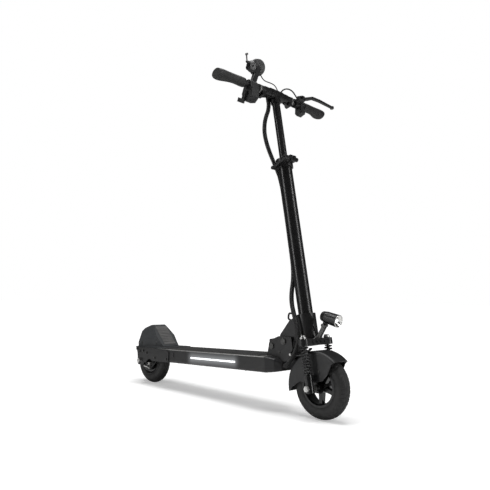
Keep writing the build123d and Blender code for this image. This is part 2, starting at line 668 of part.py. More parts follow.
with BuildPart() as shock_rods:
    for y in (-30, -10, 10, 30):
        with BuildSketch(Plane(origin=stem_point(CROWN_H + 10, SHOCK_X + 14, y), x_dir=(0, 1, 0),
                               z_dir=tuple(stem_plane.x_dir))):
            Circle(4.2)
        extrude(amount=3)
    for y in (-SHOCK_Y, SHOCK_Y):
        with BuildSketch(stem_at(ROD_LOW_H, SHOCK_X, y)):
            Circle(ROD_R)
        extrude(amount=CROWN_TOP_H - ROD_LOW_H)
        with BuildSketch(stem_at(CROWN_TOP_H, SHOCK_X, y)):
            Circle(10.5)
        extrude(amount=6)
        with BuildSketch(stem_at(CROWN_TOP_H + 6, SHOCK_X, y)):
            Circle(9)
        extrude(amount=5.5, taper=20)
save(shock_rods, "shock_rods")

# ------------------------------------------------------------------ sprung lower fork
LEG_R = 12.5
LEG_TOP_H = 40.0
LEG_LOW_H = -14.0
SPRING_R = 11.3
SPRING_WIRE_R = 2.2
SPRING_TURNS = 9.5
spring_low = LEG_TOP_H + SPRING_WIRE_R + 0.3
spring_high = CROWN_H - SPRING_WIRE_R - 0.3
with BuildPart() as fork_springs:
    for y in (-SHOCK_Y, SHOCK_Y):
        with BuildLine():
            coil = Helix(pitch=(spring_high - spring_low) / SPRING_TURNS, height=spring_high - spring_low,
                         radius=SPRING_R, center=stem_point(spring_low, SHOCK_X, y),
                         direction=stem_plane.z_dir)
        with BuildSketch(Plane(origin=coil @ 0, z_dir=coil % 0)):
            Circle(SPRING_WIRE_R)
        sweep(path=coil, is_frenet=True)
save(fork_springs, "fork_springs")

rod_bore_h = ROD_LOW_H - TRAVEL - 1
with BuildPart() as fork_legs:
    for y in (-SHOCK_Y, SHOCK_Y):
        with BuildSketch(stem_at(LEG_LOW_H, SHOCK_X, y)):
            Circle(LEG_R)
        extrude(amount=LEG_TOP_H - LEG_LOW_H)
        with BuildSketch(stem_at(rod_bore_h, SHOCK_X, y)):
            Circle(ROD_R + RUN)
        extrude(amount=LEG_TOP_H - rod_bore_h, mode=Mode.SUBTRACT)
    with BuildSketch(across(FRONT_X, SHOCK_Y + LEG_R, WHEEL_R)):
        Circle(AXLE_R)
    extrude(amount=2 * (SHOCK_Y + LEG_R), mode=Mode.SUBTRACT)
save(fork_legs, "fork_legs")

axle_end = SHOCK_Y + LEG_R + 9
HUB_SPAN = 34.0
with BuildPart() as front_axle:
    with BuildSketch(across(FRONT_X, axle_end, WHEEL_R)):
        Circle(AXLE_R)
    extrude(amount=2 * axle_end)
    for edge in (-1, 1):
        with BuildSketch(across(FRONT_X, edge * (SHOCK_Y + LEG_R), WHEEL_R)):
            RegularPolygon(9.5, 6)
        extrude(amount=-edge * 7)
        with BuildSketch(across(FRONT_X, edge * (HUB_SPAN + GAP), WHEEL_R)):
            Circle(9)
        extrude(amount=-edge * (SHOCK_Y - LEG_R - HUB_SPAN - GAP))
save(front_axle, "front_axle")

FRONT_FENDER_R = 111.5
FRONT_FENDER_T = 2.5
FRONT_FENDER_Y = 38.0
FENDER_ROUND = 10.0
FENDER_FROM = 192.5        # degrees from straight ahead, at the rear tip
FENDER_TO = 48.5           # and at the front tip
fender_side = Plane(origin=(FRONT_X, 0, WHEEL_R), x_dir=(1, 0, 0), z_dir=(0, -1, 0))


def on_circle(r, angle):
    """A point of a circle about the sketch's origin."""
    return r * cos(radians(angle)), r * sin(radians(angle))


with BuildPart() as front_fender:
    with BuildSketch(fender_side):
        with BuildLine():
            Polyline(on_circle(FRONT_FENDER_R, FENDER_FROM), (-88, -6), (-60, 12), (-30, 12), (8, 16),
                     (30, 24), (50, 46), (62, 74), on_circle(FRONT_FENDER_R, FENDER_TO))
            ThreePointArc(on_circle(FRONT_FENDER_R, FENDER_TO), (0, FRONT_FENDER_R),
                          on_circle(FRONT_FENDER_R, FENDER_FROM))
        make_face()
    extrude(amount=FRONT_FENDER_Y, both=True)
    fillet(front_fender.edges().filter_by(GeomType.CIRCLE), FENDER_ROUND)
    with BuildSketch(fender_side):
        Circle(FRONT_FENDER_R - FRONT_FENDER_T)
    extrude(amount=FRONT_FENDER_Y - FENDER_ROUND, both=True, mode=Mode.SUBTRACT)
    with BuildSketch(fender_side):
        Circle(FRONT_FENDER_R - FENDER_ROUND)
    extrude(amount=FRONT_FENDER_Y - FRONT_FENDER_T, both=True, mode=Mode.SUBTRACT)
    for edge in (-1, 1):
        with BuildSketch(stem_at(38, SHOCK_X, edge * (FRONT_FENDER_Y + SHOCK_Y - LEG_R) / 2)):
            Rectangle(12, SHOCK_Y - LEG_R + 2 - FRONT_FENDER_Y)
        extrude(amount=-20)
        with BuildSketch(stem_at(LEG_TOP_H, SHOCK_X, edge * SHOCK_Y)):
            Circle(LEG_R)
        extrude(amount=-LEG_TOP_H, mode=Mode.SUBTRACT)
save(front_fender, "front_fender")

# ------------------------------------------------------------------ front wheel
SPOKES = 5
spoke_corners = ((17, -8), (RIM_R - 9, -5), (RIM_R - 9, 5), (17, 8))


def spun(r, off, angle):
    """A spoke's corner, r out and off to its side, turned to the spoke's angle."""
    a = radians(angle)
    return r * cos(a) - off * sin(a), r * sin(a) + off * cos(a)


with BuildPart() as front_rim:
    with BuildSketch(Plane(origin=(FRONT_X, 0, WHEEL_R), x_dir=(0, 1, 0), z_dir=(1, 0, 0))):
        with BuildLine():
            Polyline((-22, RIM_R - 7), (-16, RIM_R - 10), (16, RIM_R - 10), (22, RIM_R - 7),
                     (22, RIM_R), (-22, RIM_R), close=True)
        make_face()
        with BuildLine():
            Polyline((-HUB_SPAN, AXLE_R + RUN), (HUB_SPAN, AXLE_R + RUN), (HUB_SPAN, 16), (14, 20),
                     (-14, 20), (-HUB_SPAN, 16), close=True)
        make_face()
    revolve(axis=Axis((FRONT_X, 0, WHEEL_R), (0, 1, 0)))
    with BuildSketch(across(FRONT_X, 8, WHEEL_R)):
        for spoke in range(SPOKES):
            with BuildLine():
                Polyline(*[spun(r, off, spoke * 360 / SPOKES - 90) for r, off in spoke_corners], close=True)
            make_face()
    extrude(amount=16)
save(front_rim, "front_rim")
tyre("front_tyre", FRONT_X)

# ------------------------------------------------------------------ stem clamp
CLAMP_T = 20.0
CLAMP_R = 31.0
CLAMP_PIN_R = 3.0
CLAMP_PIN_X = 36.0
with BuildPart() as stem_clamp:
    with BuildSketch(stem_at(OUTER_TOP_H - 14)):
        Circle(CLAMP_R - 2)
        Circle(OUTER_R, mode=Mode.SUBTRACT)
    extrude(amount=14)
    with BuildSketch(stem_at(OUTER_TOP_H)):
        Circle(CLAMP_R - 2)
        with Locations((22, 0)):
            Rectangle(44, 30)
        Circle(INNER_R + RUN, mode=Mode.SUBTRACT)
        with Locations((CLAMP_R, 0)):
            Rectangle(2 * CLAMP_R - INNER_R, 2.5, mode=Mode.SUBTRACT)
    extrude(amount=CLAMP_T)
    with BuildSketch(stem_side(OUTER_TOP_H + CLAMP_T / 2, CLAMP_PIN_X, 26)):
        Circle(CLAMP_PIN_R)
    extrude(amount=26 + 31)
    with BuildSketch(stem_side(OUTER_TOP_H + CLAMP_T / 2, CLAMP_PIN_X, 26)):
        Circle(7.5)
    extrude(amount=8)
save(stem_clamp, "stem_clamp")

with BuildPart() as clamp_lever:
    with BuildSketch(stem_side(OUTER_TOP_H + CLAMP_T / 2, CLAMP_PIN_X, -15 - GAP)):
        Circle(8)
        Circle(CLAMP_PIN_R + RUN, mode=Mode.SUBTRACT)
    extrude(amount=25)
    with BuildSketch(stem_side(OUTER_TOP_H + CLAMP_T / 2, CLAMP_PIN_X, -31)):
        with BuildLine():
            Polyline((2, -3), (-58, -14), (-56, -23), (0, -10), close=True)
        make_face()
    extrude(amount=9)
    with BuildSketch(stem_side(OUTER_TOP_H + CLAMP_T / 2, CLAMP_PIN_X, -30)):
        with Locations((-58, -19)):
            Circle(6.5)
    extrude(amount=12)
save(clamp_lever, "clamp_lever")

# ------------------------------------------------------------------ telescopic stem and handlebar centre
HEAD_R = 17.5
HEAD_HALF = 57.0
PIVOT_Y = 70.0
PIVOT_DROP = 20.0
KNUCKLE_R = 8.0
LUG_HALF = 5.0
BAR_PIN_R = 3.0
with BuildPart() as inner_stem:
    with BuildSketch(stem_at(BAR_H - 330)):
        Circle(INNER_R)
    extrude(amount=330)
    with BuildSketch(stem_side(BAR_H, 0, HEAD_HALF)):
        Circle(HEAD_R)
    extrude(amount=2 * HEAD_HALF)
    with BuildSketch(stem_side(BAR_H, 0, 30)):
        Circle(HEAD_R + 2)
    extrude(amount=60)
    with BuildSketch(stem_at(BAR_H - 34)):
        Circle(INNER_R + 4)
    extrude(amount=30)
    with BuildSketch(stem_at(BAR_H - 24)):
        with Locations((-19, -17)):
            Circle(8)
    extrude(amount=22)
    with BuildSketch(stem_at(BAR_H)):
        with Locations((3, 16), (1, 36)):
            Circle(4.5)
    extrude(amount=20.5)
    for edge in (-1, 1):
        with BuildSketch(Plane(origin=stem_point(BAR_H, -LUG_HALF), x_dir=(0, 1, 0),
                               z_dir=tuple(stem_plane.x_dir))):
            with Locations((edge * PIVOT_Y, -PIVOT_DROP)):
                Circle(KNUCKLE_R)
            with BuildLine():
                Polyline((edge * (HEAD_HALF - 12), -12), (edge * (HEAD_HALF - 12), -21),
                         (edge * PIVOT_Y, -PIVOT_DROP - KNUCKLE_R), (edge * PIVOT_Y, -PIVOT_DROP),
                         (edge * HEAD_HALF, -9), close=True)
            make_face()
            with Locations((edge * PIVOT_Y, -PIVOT_DROP)):
                Circle(BAR_PIN_R + RUN, mode=Mode.SUBTRACT)
        extrude(amount=2 * LUG_HALF)
    with BuildSketch(stem_at(BAR_H - 400)):
        Circle(INNER_R - TUBE_WALL)
    extrude(amount=380, mode=Mode.SUBTRACT)
save(inner_stem, "inner_stem")

ROOT_LEN = 22.0
GRIP_IN = 156.0
for name, edge in (("bar_right", -1), ("bar_left", 1)):
    root_y = edge * (HEAD_HALF + GAP)
    with BuildPart() as bar:
        with BuildSketch(stem_side(BAR_H, 0, root_y)):
            Circle(HEAD_R - 1.5)
        extrude(amount=-edge * ROOT_LEN)
        with BuildSketch(stem_side(BAR_H, 0, root_y)):
            Circle(BAR_R)
        extrude(amount=-edge * (BAR_HALF - HEAD_HALF - GAP - 4))
        cheeks = Plane(origin=stem_point(BAR_H, -LUG_HALF - GAP - 7), x_dir=(0, 1, 0),
                       z_dir=tuple(stem_plane.x_dir))
        with BuildSketch(cheeks):
            with Locations((edge * PIVOT_Y, -PIVOT_DROP)):
                Circle(KNUCKLE_R)
            with Locations((edge * (PIVOT_Y - 1), -PIVOT_DROP / 2 - 3)):
                Rectangle(2 * KNUCKLE_R - 3, PIVOT_DROP - 6)
        extrude(amount=2 * (LUG_HALF + GAP + 7))
        with BuildSketch(cheeks.offset(7)):
            with Locations((edge * PIVOT_Y, -PIVOT_DROP)):
                Circle(KNUCKLE_R + GAP)
            with BuildLine():
                Polyline((edge * (HEAD_HALF - 2), -8), (edge * (PIVOT_Y + 3), -PIVOT_DROP + 7),
                         (edge * PIVOT_Y, -PIVOT_DROP - 8), (edge * (HEAD_HALF - 2), -32), close=True)
            make_face()
        extrude(amount=2 * (LUG_HALF + GAP), mode=Mode.SUBTRACT)
        with BuildSketch(cheeks):
            with Locations((edge * PIVOT_Y, -PIVOT_DROP)):
                Circle(BAR_PIN_R)
        extrude(amount=2 * (LUG_HALF + GAP + 7))
    save(bar, name)

SLEEVE_IN = HEAD_HALF + GAP + ROOT_LEN + GAP
SLEEVE_LEN = 8.0
SLEEVE_SLIDE = 10.0
for name, edge in (("lock_sleeve_right", -1), ("lock_sleeve_left", 1)):
    with BuildPart() as lock_sleeve:
        with BuildSketch(stem_side(BAR_H, 0, edge * SLEEVE_IN)):
            Circle(HEAD_R - 1)
            with PolarLocations(HEAD_R - 1, 16):
                Circle(1.2, mode=Mode.SUBTRACT)
            Circle(BAR_R + RUN, mode=Mode.SUBTRACT)
        extrude(amount=-edge * SLEEVE_LEN)
    save(lock_sleeve, name)

# grip stations: distance out, half-depth fore and aft, half-height, set-back
grip_stations = ((GRIP_IN, 16, 16, 0), (GRIP_IN + 34, 16.5, 15.5, 0), (GRIP_IN + 70, 19, 16, -3),
                 (GRIP_IN + 100, 24, 16.5, -7), (BAR_HALF, 20, 15, -6))
for name, edge in (("grip_right", -1), ("grip_left", 1)):
    with BuildPart() as grip:
        for out, depth, height, back in grip_stations:
            with BuildSketch(stem_side(BAR_H, 0, edge * out)):
                with Locations((back, 0)):
                    Ellipse(depth, height)
        loft()
        with BuildSketch(stem_side(BAR_H, 0, edge * GRIP_IN)):
            Circle(BAR_R)
        extrude(amount=-edge * (BAR_HALF - GRIP_IN - 4), mode=Mode.SUBTRACT)
    save(grip, name)

# ------------------------------------------------------------------ right-hand controls
THROTTLE_Y = -119.0
THROTTLE_W = 36.0
TRIGGER_Y = THROTTLE_Y - THROTTLE_W / 2 - GAP
TRIGGER_X = -12.0
TRIGGER_Z = -29.0
TRIGGER_PIN_R = 4.0
DISPLAY_R = 30.0
DISPLAY_T = 15.0
display_centre = stem_point(BAR_H + 92, -4, -66)
display_plane = Plane(origin=display_centre, x_dir=(-0.2, -0.97, 0.1),
                      z_dir=(-0.86, 0.22, 0.40))
stalk_foot = stem_point(BAR_H + 14, -2, -108)
BELL_R = 20.0
BELL_BASE_T = 4.0
BELL_POST = 20.0
bell_y = -122.0
bell_plane = Plane(origin=stem_point(BAR_H + 66, 14, bell_y), x_dir=(0.2, 1, 0), z_dir=(0.93, -0.2, -0.2))
with BuildPart() as throttle:
    with BuildSketch(stem_side(BAR_H, 0, THROTTLE_Y + THROTTLE_W / 2)):
        Circle(HEAD_R)
        with BuildLine():
            Polyline((16, 4), (20, -20), (12, -48), (-8, -58), (-30, -48), (-34, -22), (-16, 6), close=True)
        make_face()
        fillet(vertices(), 3)
        Circle(BAR_R, mode=Mode.SUBTRACT)
    extrude(amount=THROTTLE_W)
    fillet(throttle.edges().filter_by(GeomType.LINE).sort_by(Axis.Z)[:4], 1.5)
    with BuildSketch(stem_side(BAR_H, TRIGGER_X, TRIGGER_Y + GAP, TRIGGER_Z)):
        Circle(TRIGGER_PIN_R)
    extrude(amount=8.4)
    with BuildSketch(Plane(origin=stalk_foot, x_dir=(1, 0, 0), z_dir=display_centre - stalk_foot)):
        RectangleRounded(13, 22, 3)
    extrude(amount=(display_centre - stalk_foot).length)
    with BuildSketch(stem_side(BAR_H + 66, 0, bell_y + 7)):
        RectangleRounded(12, 12, 2)
    extrude(amount=-24)
    with BuildSketch(bell_plane.offset(-BELL_BASE_T)):
        Circle(BELL_R - 12)
    extrude(amount=-BELL_POST)
    with BuildSketch(display_plane.offset(-3)):
        Circle(DISPLAY_R + 1)
    extrude(amount=DISPLAY_T + 3, mode=Mode.SUBTRACT)
    with BuildSketch(bell_plane.offset(-BELL_BASE_T)):
        Circle(BELL_R)
    extrude(amount=30, mode=Mode.SUBTRACT)
    with BuildSketch(display_plane.offset(-3)):
        Circle(9)
    extrude(amount=3)
    with BuildSketch(stem_side(BAR_H, 0, THROTTLE_Y + THROTTLE_W / 2 + 10)):
        Circle(BAR_R)
    extrude(amount=THROTTLE_W + 20, mode=Mode.SUBTRACT)
save(throttle, "throttle")

with BuildPart() as throttle_trigger:
    with BuildSketch(stem_side(BAR_H, TRIGGER_X, TRIGGER_Y, TRIGGER_Z)):
        Circle(9)
        with BuildLine():
            Polyline((-8, 2), (-22, -22), (-14, -28), (4, -8), close=True)
        make_face()
        Circle(TRIGGER_PIN_R + RUN, mode=Mode.SUBTRACT)
    extrude(amount=8)
    with BuildSketch(stem_side(BAR_H, TRIGGER_X, TRIGGER_Y, TRIGGER_Z)):
        with BuildLine():
            Polyline((-16, -14), (-24, -26), (-15, -32), (-7, -21), close=True)
        make_face()
    extrude(amount=24)
save(throttle_trigger, "throttle_trigger")

BUTTON_R = 5.0
with BuildPart() as display:
    with BuildSketch(display_plane):
        Circle(DISPLAY_R)
    extrude(amount=DISPLAY_T)
    fillet(display.edges().filter_by(GeomType.CIRCLE), 3)
    with BuildSketch(display_plane.offset(DISPLAY_T)):
        Circle(DISPLAY_R - 5)
    extrude(amount=-1.5, mode=Mode.SUBTRACT)
    with BuildSketch(display_plane.offset(DISPLAY_T - 1.5)):
        with Locations((0, -16)):
            Circle(BUTTON_R + RUN)
    extrude(amount=-4, mode=Mode.SUBTRACT)
save(display, "display")

with BuildPart() as display_button:
    with BuildSketch(display_plane.offset(DISPLAY_T - 1.5 - 2)):
        with Locations((0, -16)):
            Circle(BUTTON_R)
    extrude(amount=3.2)
save(display_button, "display_button")

with BuildPart() as bell:
    with BuildSketch(bell_plane.offset(-BELL_BASE_T)):
        Circle(BELL_R - 3)
    extrude(amount=BELL_BASE_T)
    with BuildSketch(bell_plane):
        Circle(BELL_R)
    extrude(amount=9)
    with BuildSketch(bell_plane.offset(9)):
        Circle(BELL_R)
    extrude(amount=6, taper=50)
    with BuildSketch(bell_plane.offset(10)):
        Circle(3)
    extrude(amount=8)
    with BuildSketch(bell_plane.offset(-2)):
        with Locations((-17, 14)):
            Circle(2.5)
        with Locations((-9, 9)):
            Rectangle(18, 8, rotation=-40)
    extrude(amount=2)
    with BuildSketch(bell_plane.offset(-6)):
        with Locations((-17, 14)):
            Circle(2.5)
    extrude(amount=6)
save(bell, "bell")

with BuildPart() as bell_lever:
    with BuildSketch(bell_plane.offset(-2 - GAP)):
        with Locations((-17, 14)):
            Circle(4.5)
        with Locations((-19.5, 26)):
            Rectangle(4, 22, rotation=12)
        with Locations((-17, 14)):
            Circle(2.5 + RUN, mode=Mode.SUBTRACT)
    extrude(amount=-3)
    with BuildSketch(bell_plane.offset(1)):
        with Locations((-21.8, 38)):
            Circle(4)
    extrude(amount=-8)
save(bell_lever, "bell_lever")

# ------------------------------------------------------------------ left-hand controls
PERCH_Y = 115.0
PERCH_W = 20.0
LEVER_PIN_X = 38.0
LEVER_PIN_Y = 112.0
LEVER_PIN_R = 3.0
LEVER_HALF_T = 4.0
with BuildPart() as brake_perch:
    with BuildSketch(stem_side(BAR_H, 0, PERCH_Y + PERCH_W / 2)):
        Circle(HEAD_R - 1)
        Circle(BAR_R, mode=Mode.SUBTRACT)
    extrude(amount=PERCH_W)
    with BuildSketch(stem_at(BAR_H - 9)):
        with BuildLine():
            Polyline((13, 106), (13, 124), (34, 122), (46, 117), (46, 104), (34, 92), (24, 92), close=True)
        make_face()
    extrude(amount=18)
    with BuildSketch(stem_at(BAR_H - LEVER_HALF_T - GAP)):
        with BuildLine():
            Polyline((27, 103), (27, 130), (60, 130), (60, 98), (40, 98), close=True)
        make_face()
    extrude(amount=2 * (LEVER_HALF_T + GAP), mode=Mode.SUBTRACT)
    with BuildSketch(stem_at(BAR_H - 9)):
        with Locations((LEVER_PIN_X, LEVER_PIN_Y)):
            Circle(LEVER_PIN_R)
    extrude(amount=18)
    with BuildSketch(stem_side(BAR_H, 0, PERCH_Y + PERCH_W)):
        Circle(BAR_R)
    extrude(amount=60, mode=Mode.SUBTRACT)
save(brake_perch, "brake_perch")

with BuildPart() as brake_lever:
    with BuildSketch(stem_at(BAR_H - LEVER_HALF_T)):
        with BuildLine():
            Polyline((33, 106), (33, 118), (44, 132), (56, 140), (58, 180), (54, 262), (62, 262),
                     (68, 180), (67, 136), (55, 124), (46, 114), (44, 106), close=True)
        make_face()
        fillet(vertices(), 1.5)
        with Locations((57.5, 266)):
            Circle(7.5)
        with Locations((LEVER_PIN_X, LEVER_PIN_Y)):
            Circle(LEVER_PIN_R + RUN, mode=Mode.SUBTRACT)
    extrude(amount=2 * LEVER_HALF_T)
save(brake_lever, "brake_lever")

SWITCH_Y = 139.0
SWITCH_W = 22.0
SWITCH_TRAVEL = 1.5
switch_face = Plane(origin=stem_point(BAR_H - 20, -17.7, SWITCH_Y), x_dir=(0, 1, 0),
                    z_dir=-stem_plane.x_dir + stem_plane.z_dir * 0.22)
with BuildPart() as switch_box:
    with BuildSketch(stem_side(BAR_H, 0, SWITCH_Y + SWITCH_W / 2)):
        Circle(HEAD_R - 1)
        with BuildLine():
            Polyline((12, -6), (12, -38), (-12, -42), (-20, -30), (-14, -4), close=True)
        make_face()
        fillet(vertices(), 2)
        Circle(BAR_R, mode=Mode.SUBTRACT)
    extrude(amount=SWITCH_W)
    with BuildSketch(switch_face.offset(-5.5)):
        Circle(4.5 + RUN)
    extrude(amount=9, mode=Mode.SUBTRACT)
save(switch_box, "switch_box")

with BuildPart() as switch_button:
    with BuildSketch(switch_face.offset(-3)):
        Circle(4.5)
    extrude(amount=3 + 2.2)
save(switch_button, "switch_button")

# ------------------------------------------------------------------ headlight
LAMP_TILT = 14.0
LAMP_R = 20.0
LAMP_PIN_Z = 290.0
lamp_axis = (cos(radians(LAMP_TILT)), 0, -sin(radians(LAMP_TILT)))
lamp_plane = Plane(origin=(469, 0, 319), x_dir=(0, 1, 0), z_dir=lamp_axis)
with BuildPart() as headlight:
    with BuildSketch(lamp_plane):
        Circle(15)
    with BuildSketch(lamp_plane.offset(16)):
        Circle(18.5)
    with BuildSketch(lamp_plane.offset(62)):
        Circle(LAMP_R)
    loft(ruled=True)
    with BuildSketch(lamp_plane.offset(50)):
        Circle(LAMP_R - 2)
    extrude(amount=12, mode=Mode.SUBTRACT)
    with BuildSketch(across(477, 4, LAMP_PIN_Z)):
        Circle(5.5)
        with Locations((0, 8)):
            Rectangle(11, 16)
        Circle(2.5, mode=Mode.SUBTRACT)
    extrude(amount=8)
    with BuildSketch(lamp_plane.offset(50)):
        Circle(LAMP_R - 2)
    extrude(amount=12, mode=Mode.SUBTRACT)
save(headlight, "headlight")

with BuildPart() as headlight_lens:
    with BuildSketch(lamp_plane.offset(50)):
        Circle(LAMP_R - 2)
    extrude(amount=10)
    with BuildSketch(lamp_plane.offset(60)):
        Circle(LAMP_R - 3)
    extrude(amount=5, taper=30)
save(headlight_lens, "headlight_lens")

LAMP_FOOT_X = SHOCK_X + 14
lamp_mount = stem_point(CROWN_TOP_H, LAMP_FOOT_X)
with BuildPart() as headlight_bracket:
    for edge in (-1, 1):
        foot = lamp_mount + Vector(0, edge * 7, 0)
        top = Vector(477, edge * 7, LAMP_PIN_Z)
        with BuildSketch(Plane(origin=foot, x_dir=(0, 1, 0), z_dir=top - foot)):
            Rectangle(4, 8)
        extrude(amount=(top - foot).length)
        with BuildSketch(across(477, edge * 7 + 2, LAMP_PIN_Z)):
            Circle(6)
        extrude(amount=4)
    with BuildSketch(across(477, 9, LAMP_PIN_Z)):
        Circle(2.5 - RUN)
    extrude(amount=18)
    with BuildSketch(across(477, -9, LAMP_PIN_Z)):
        Circle(6)
    extrude(amount=5)
    with BuildSketch(stem_at(CROWN_TOP_H, LAMP_FOOT_X)):
        Rectangle(9, 30)
    extrude(amount=3)
    with BuildSketch(stem_at(CROWN_TOP_H, LAMP_FOOT_X)):
        Rectangle(60, 60)
    extrude(amount=-12, mode=Mode.SUBTRACT)
save(headlight_bracket, "headlight_bracket")

# ------------------------------------------------------------------ cables
ROUTE_SHARE = 0.45         # of the shorter run that a corner's arc may take
LOOM_R = 6.0


def route(points):
    """Arc radii for a cable's corners, each as large as its two runs allow."""
    at = [Vector(*p) for p in points]
    radii = []
    for before, here, after in zip(at, at[1:], at[2:]):
        run_in = here - before
        run_out = after - here
        half_turn = radians(run_in.get_angle(run_out)) / 2
        radii.append(ROUTE_SHARE * min(run_in.length, run_out.length) / tan(half_turn))
    return radii


def on_stem(*points):
    """Points given as (height, forward, left) in the steering axis's frame."""
    return [tuple(stem_point(h, x, y)) for h, x, y in points]


upper_route = on_stem((BAR_H - 24.2, -19, -17), (BAR_H - 50, -20, -18), (BAR_H - 84, -36, -28),
                      (BAR_H - 130, -45, -33), (BAR_H - 180, -45, -28), (BAR_H - 226, -42, -16),
                      (BAR_H - 262, -41, -1), (BAR_H - 300, -36, 7))
lower_route = on_stem((BAR_H - 301, -36, 7), (BAR_H - 340, -32, 9), (630, -31.5, 8), (550, -31.2, 8.6),
                      (470, -31.6, 8), (400, -31.2, 7), (350, -33, 0), (310, -34, -16),
                      (270, -27, -32), (230, -14, -42), (195, -6, -44), (158, -8, -44),
                      (128, -17, -46)) + [(384, -47, 184), (362, -43, 163), (338, -32, 152)]
display_route = on_stem((BAR_H + 56, 8, -73), (BAR_H + 44, 9, -68), (BAR_H + 36, 8, -54),
                        (BAR_H + 34, 12, -34), (BAR_H + 36, 10, -12), (BAR_H + 34, 5, 8),
                        (BAR_H + 22, 3, 16))
brake_route = on_stem((BAR_H, 30, 90), (BAR_H + 4, 34, 78), (BAR_H + 18, 36, 62), (BAR_H + 30, 26, 48),
                      (BAR_H + 30, 10, 38), (BAR_H + 22.4, 1, 36))
rear_route = [(DROPOUT_FRONT_X - 9.5, cable_y, 128), (-366, cable_y, 120), (-382, cable_y, 106),
              (-396, cable_y, 88), (-416, cable_y, 76), (REAR_X + 22.2, cable_y, cable_z)]
for name, points, radius in (("upper_loom", upper_route, LOOM_R), ("lower_loom", lower_route, LOOM_R),
                             ("display_cable", display_route, 1.8), ("brake_cable", brake_route, 2.5),
                             ("rear_brake_cable", rear_route, 2.5)):
    radii = route(points)
    print(name, [round(r) for r in radii])
    with BuildPart() as cable:
        with BuildLine():
            FilletPolyline(*points, radius=radii)
        with BuildSketch(Plane(origin=points[0], z_dir=Vector(*points[1]) - Vector(*points[0]))):
            Circle(radius)
        sweep()
    save(cable, name)
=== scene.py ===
from math import cos, radians, sin, tau

import bmesh
import bpy
from mathutils import Matrix, Vector
from mathutils.bvhtree import BVHTree


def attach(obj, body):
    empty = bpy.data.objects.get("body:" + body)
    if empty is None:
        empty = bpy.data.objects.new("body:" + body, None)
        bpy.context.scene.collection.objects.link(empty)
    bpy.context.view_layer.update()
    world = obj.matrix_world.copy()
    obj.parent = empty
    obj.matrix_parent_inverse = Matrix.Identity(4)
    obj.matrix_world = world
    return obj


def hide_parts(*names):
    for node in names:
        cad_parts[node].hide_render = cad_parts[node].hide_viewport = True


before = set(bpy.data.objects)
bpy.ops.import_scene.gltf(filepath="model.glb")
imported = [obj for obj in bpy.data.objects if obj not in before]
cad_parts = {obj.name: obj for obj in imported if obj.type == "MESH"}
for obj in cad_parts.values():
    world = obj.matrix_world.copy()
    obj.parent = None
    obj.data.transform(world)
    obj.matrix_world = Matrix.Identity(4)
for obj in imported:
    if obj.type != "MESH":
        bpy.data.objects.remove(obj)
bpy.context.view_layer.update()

MM = 0.001

# ------------------------------------------------------------------ camera
CAMERA_AT = Vector((1.482, -1.308, 0.370))
CAMERA_YAW, CAMERA_PITCH, CAMERA_ROLL = (radians(a) for a in (46.417, -5.988, 0.688))
CAMERA_LENS, SENSOR_WIDTH = 37.65, 36


def place_camera():
    """A low camera off the front right corner, looking back along the deck and a little up."""
    back = Vector((sin(CAMERA_YAW) * cos(CAMERA_PITCH), -cos(CAMERA_YAW) * cos(CAMERA_PITCH),
                   sin(CAMERA_PITCH)))
    right = (-back).cross(Vector((0, 0, 1))).normalized()
    up = right.cross(-back)
    across = cos(CAMERA_ROLL) * right + sin(CAMERA_ROLL) * up
    above = -sin(CAMERA_ROLL) * right + cos(CAMERA_ROLL) * up
    data = bpy.data.cameras.new("studio_camera")
    data.sensor_width = SENSOR_WIDTH
    data.lens = CAMERA_LENS
    camera = bpy.data.objects.new("studio_camera", data)
    turn = Matrix((across, above, back)).transposed().to_4x4()
    camera.matrix_world = Matrix.Translation(CAMERA_AT) @ turn
    bpy.context.collection.objects.link(camera)
    bpy.context.scene.camera = camera


place_camera()

# ------------------------------------------------------------------ the frame of the steering axis
# Both wheels' axles and the fork's offset from the steering axis, in millimetres.
AXLE_X, AXLE_Z = 465, 100
FORK_OFFSET = 24
LEAN = radians(10.5)
STEM_FORWARD = Vector((cos(LEAN), 0, sin(LEAN)))
STEM_UP = Vector((-sin(LEAN), 0, cos(LEAN)))
STEM_FOOT = Vector((AXLE_X * MM, 0, AXLE_Z * MM)) - STEM_FORWARD * FORK_OFFSET * MM
BAR_HEIGHT = 1026


def stem(height, forward=0, left=0):
    """A place given up the steering axis, ahead of it and left of it, in millimetres."""
    return STEM_FOOT + (STEM_UP * height + STEM_FORWARD * forward + Vector((0, left, 0))) * MM


# ------------------------------------------------------------------ shader maths
class Value:
    """A shader socket that adds Math nodes when it is used in an expression."""

    def __init__(self, finish, socket):
        self.finish = finish
        self.socket = socket

    def __add__(self, other):
        return self.finish.maths("ADD", self, other)

    def __sub__(self, other):
        return self.finish.maths("SUBTRACT", self, other)

    def __rsub__(self, other):
        return self.finish.maths("SUBTRACT", other, self)

    def __mul__(self, other):
        return self.finish.maths("MULTIPLY", self, other)

    def __gt__(self, other):
        return self.finish.maths("GREATER_THAN", self, other)

    __radd__ = __add__
    __rmul__ = __mul__


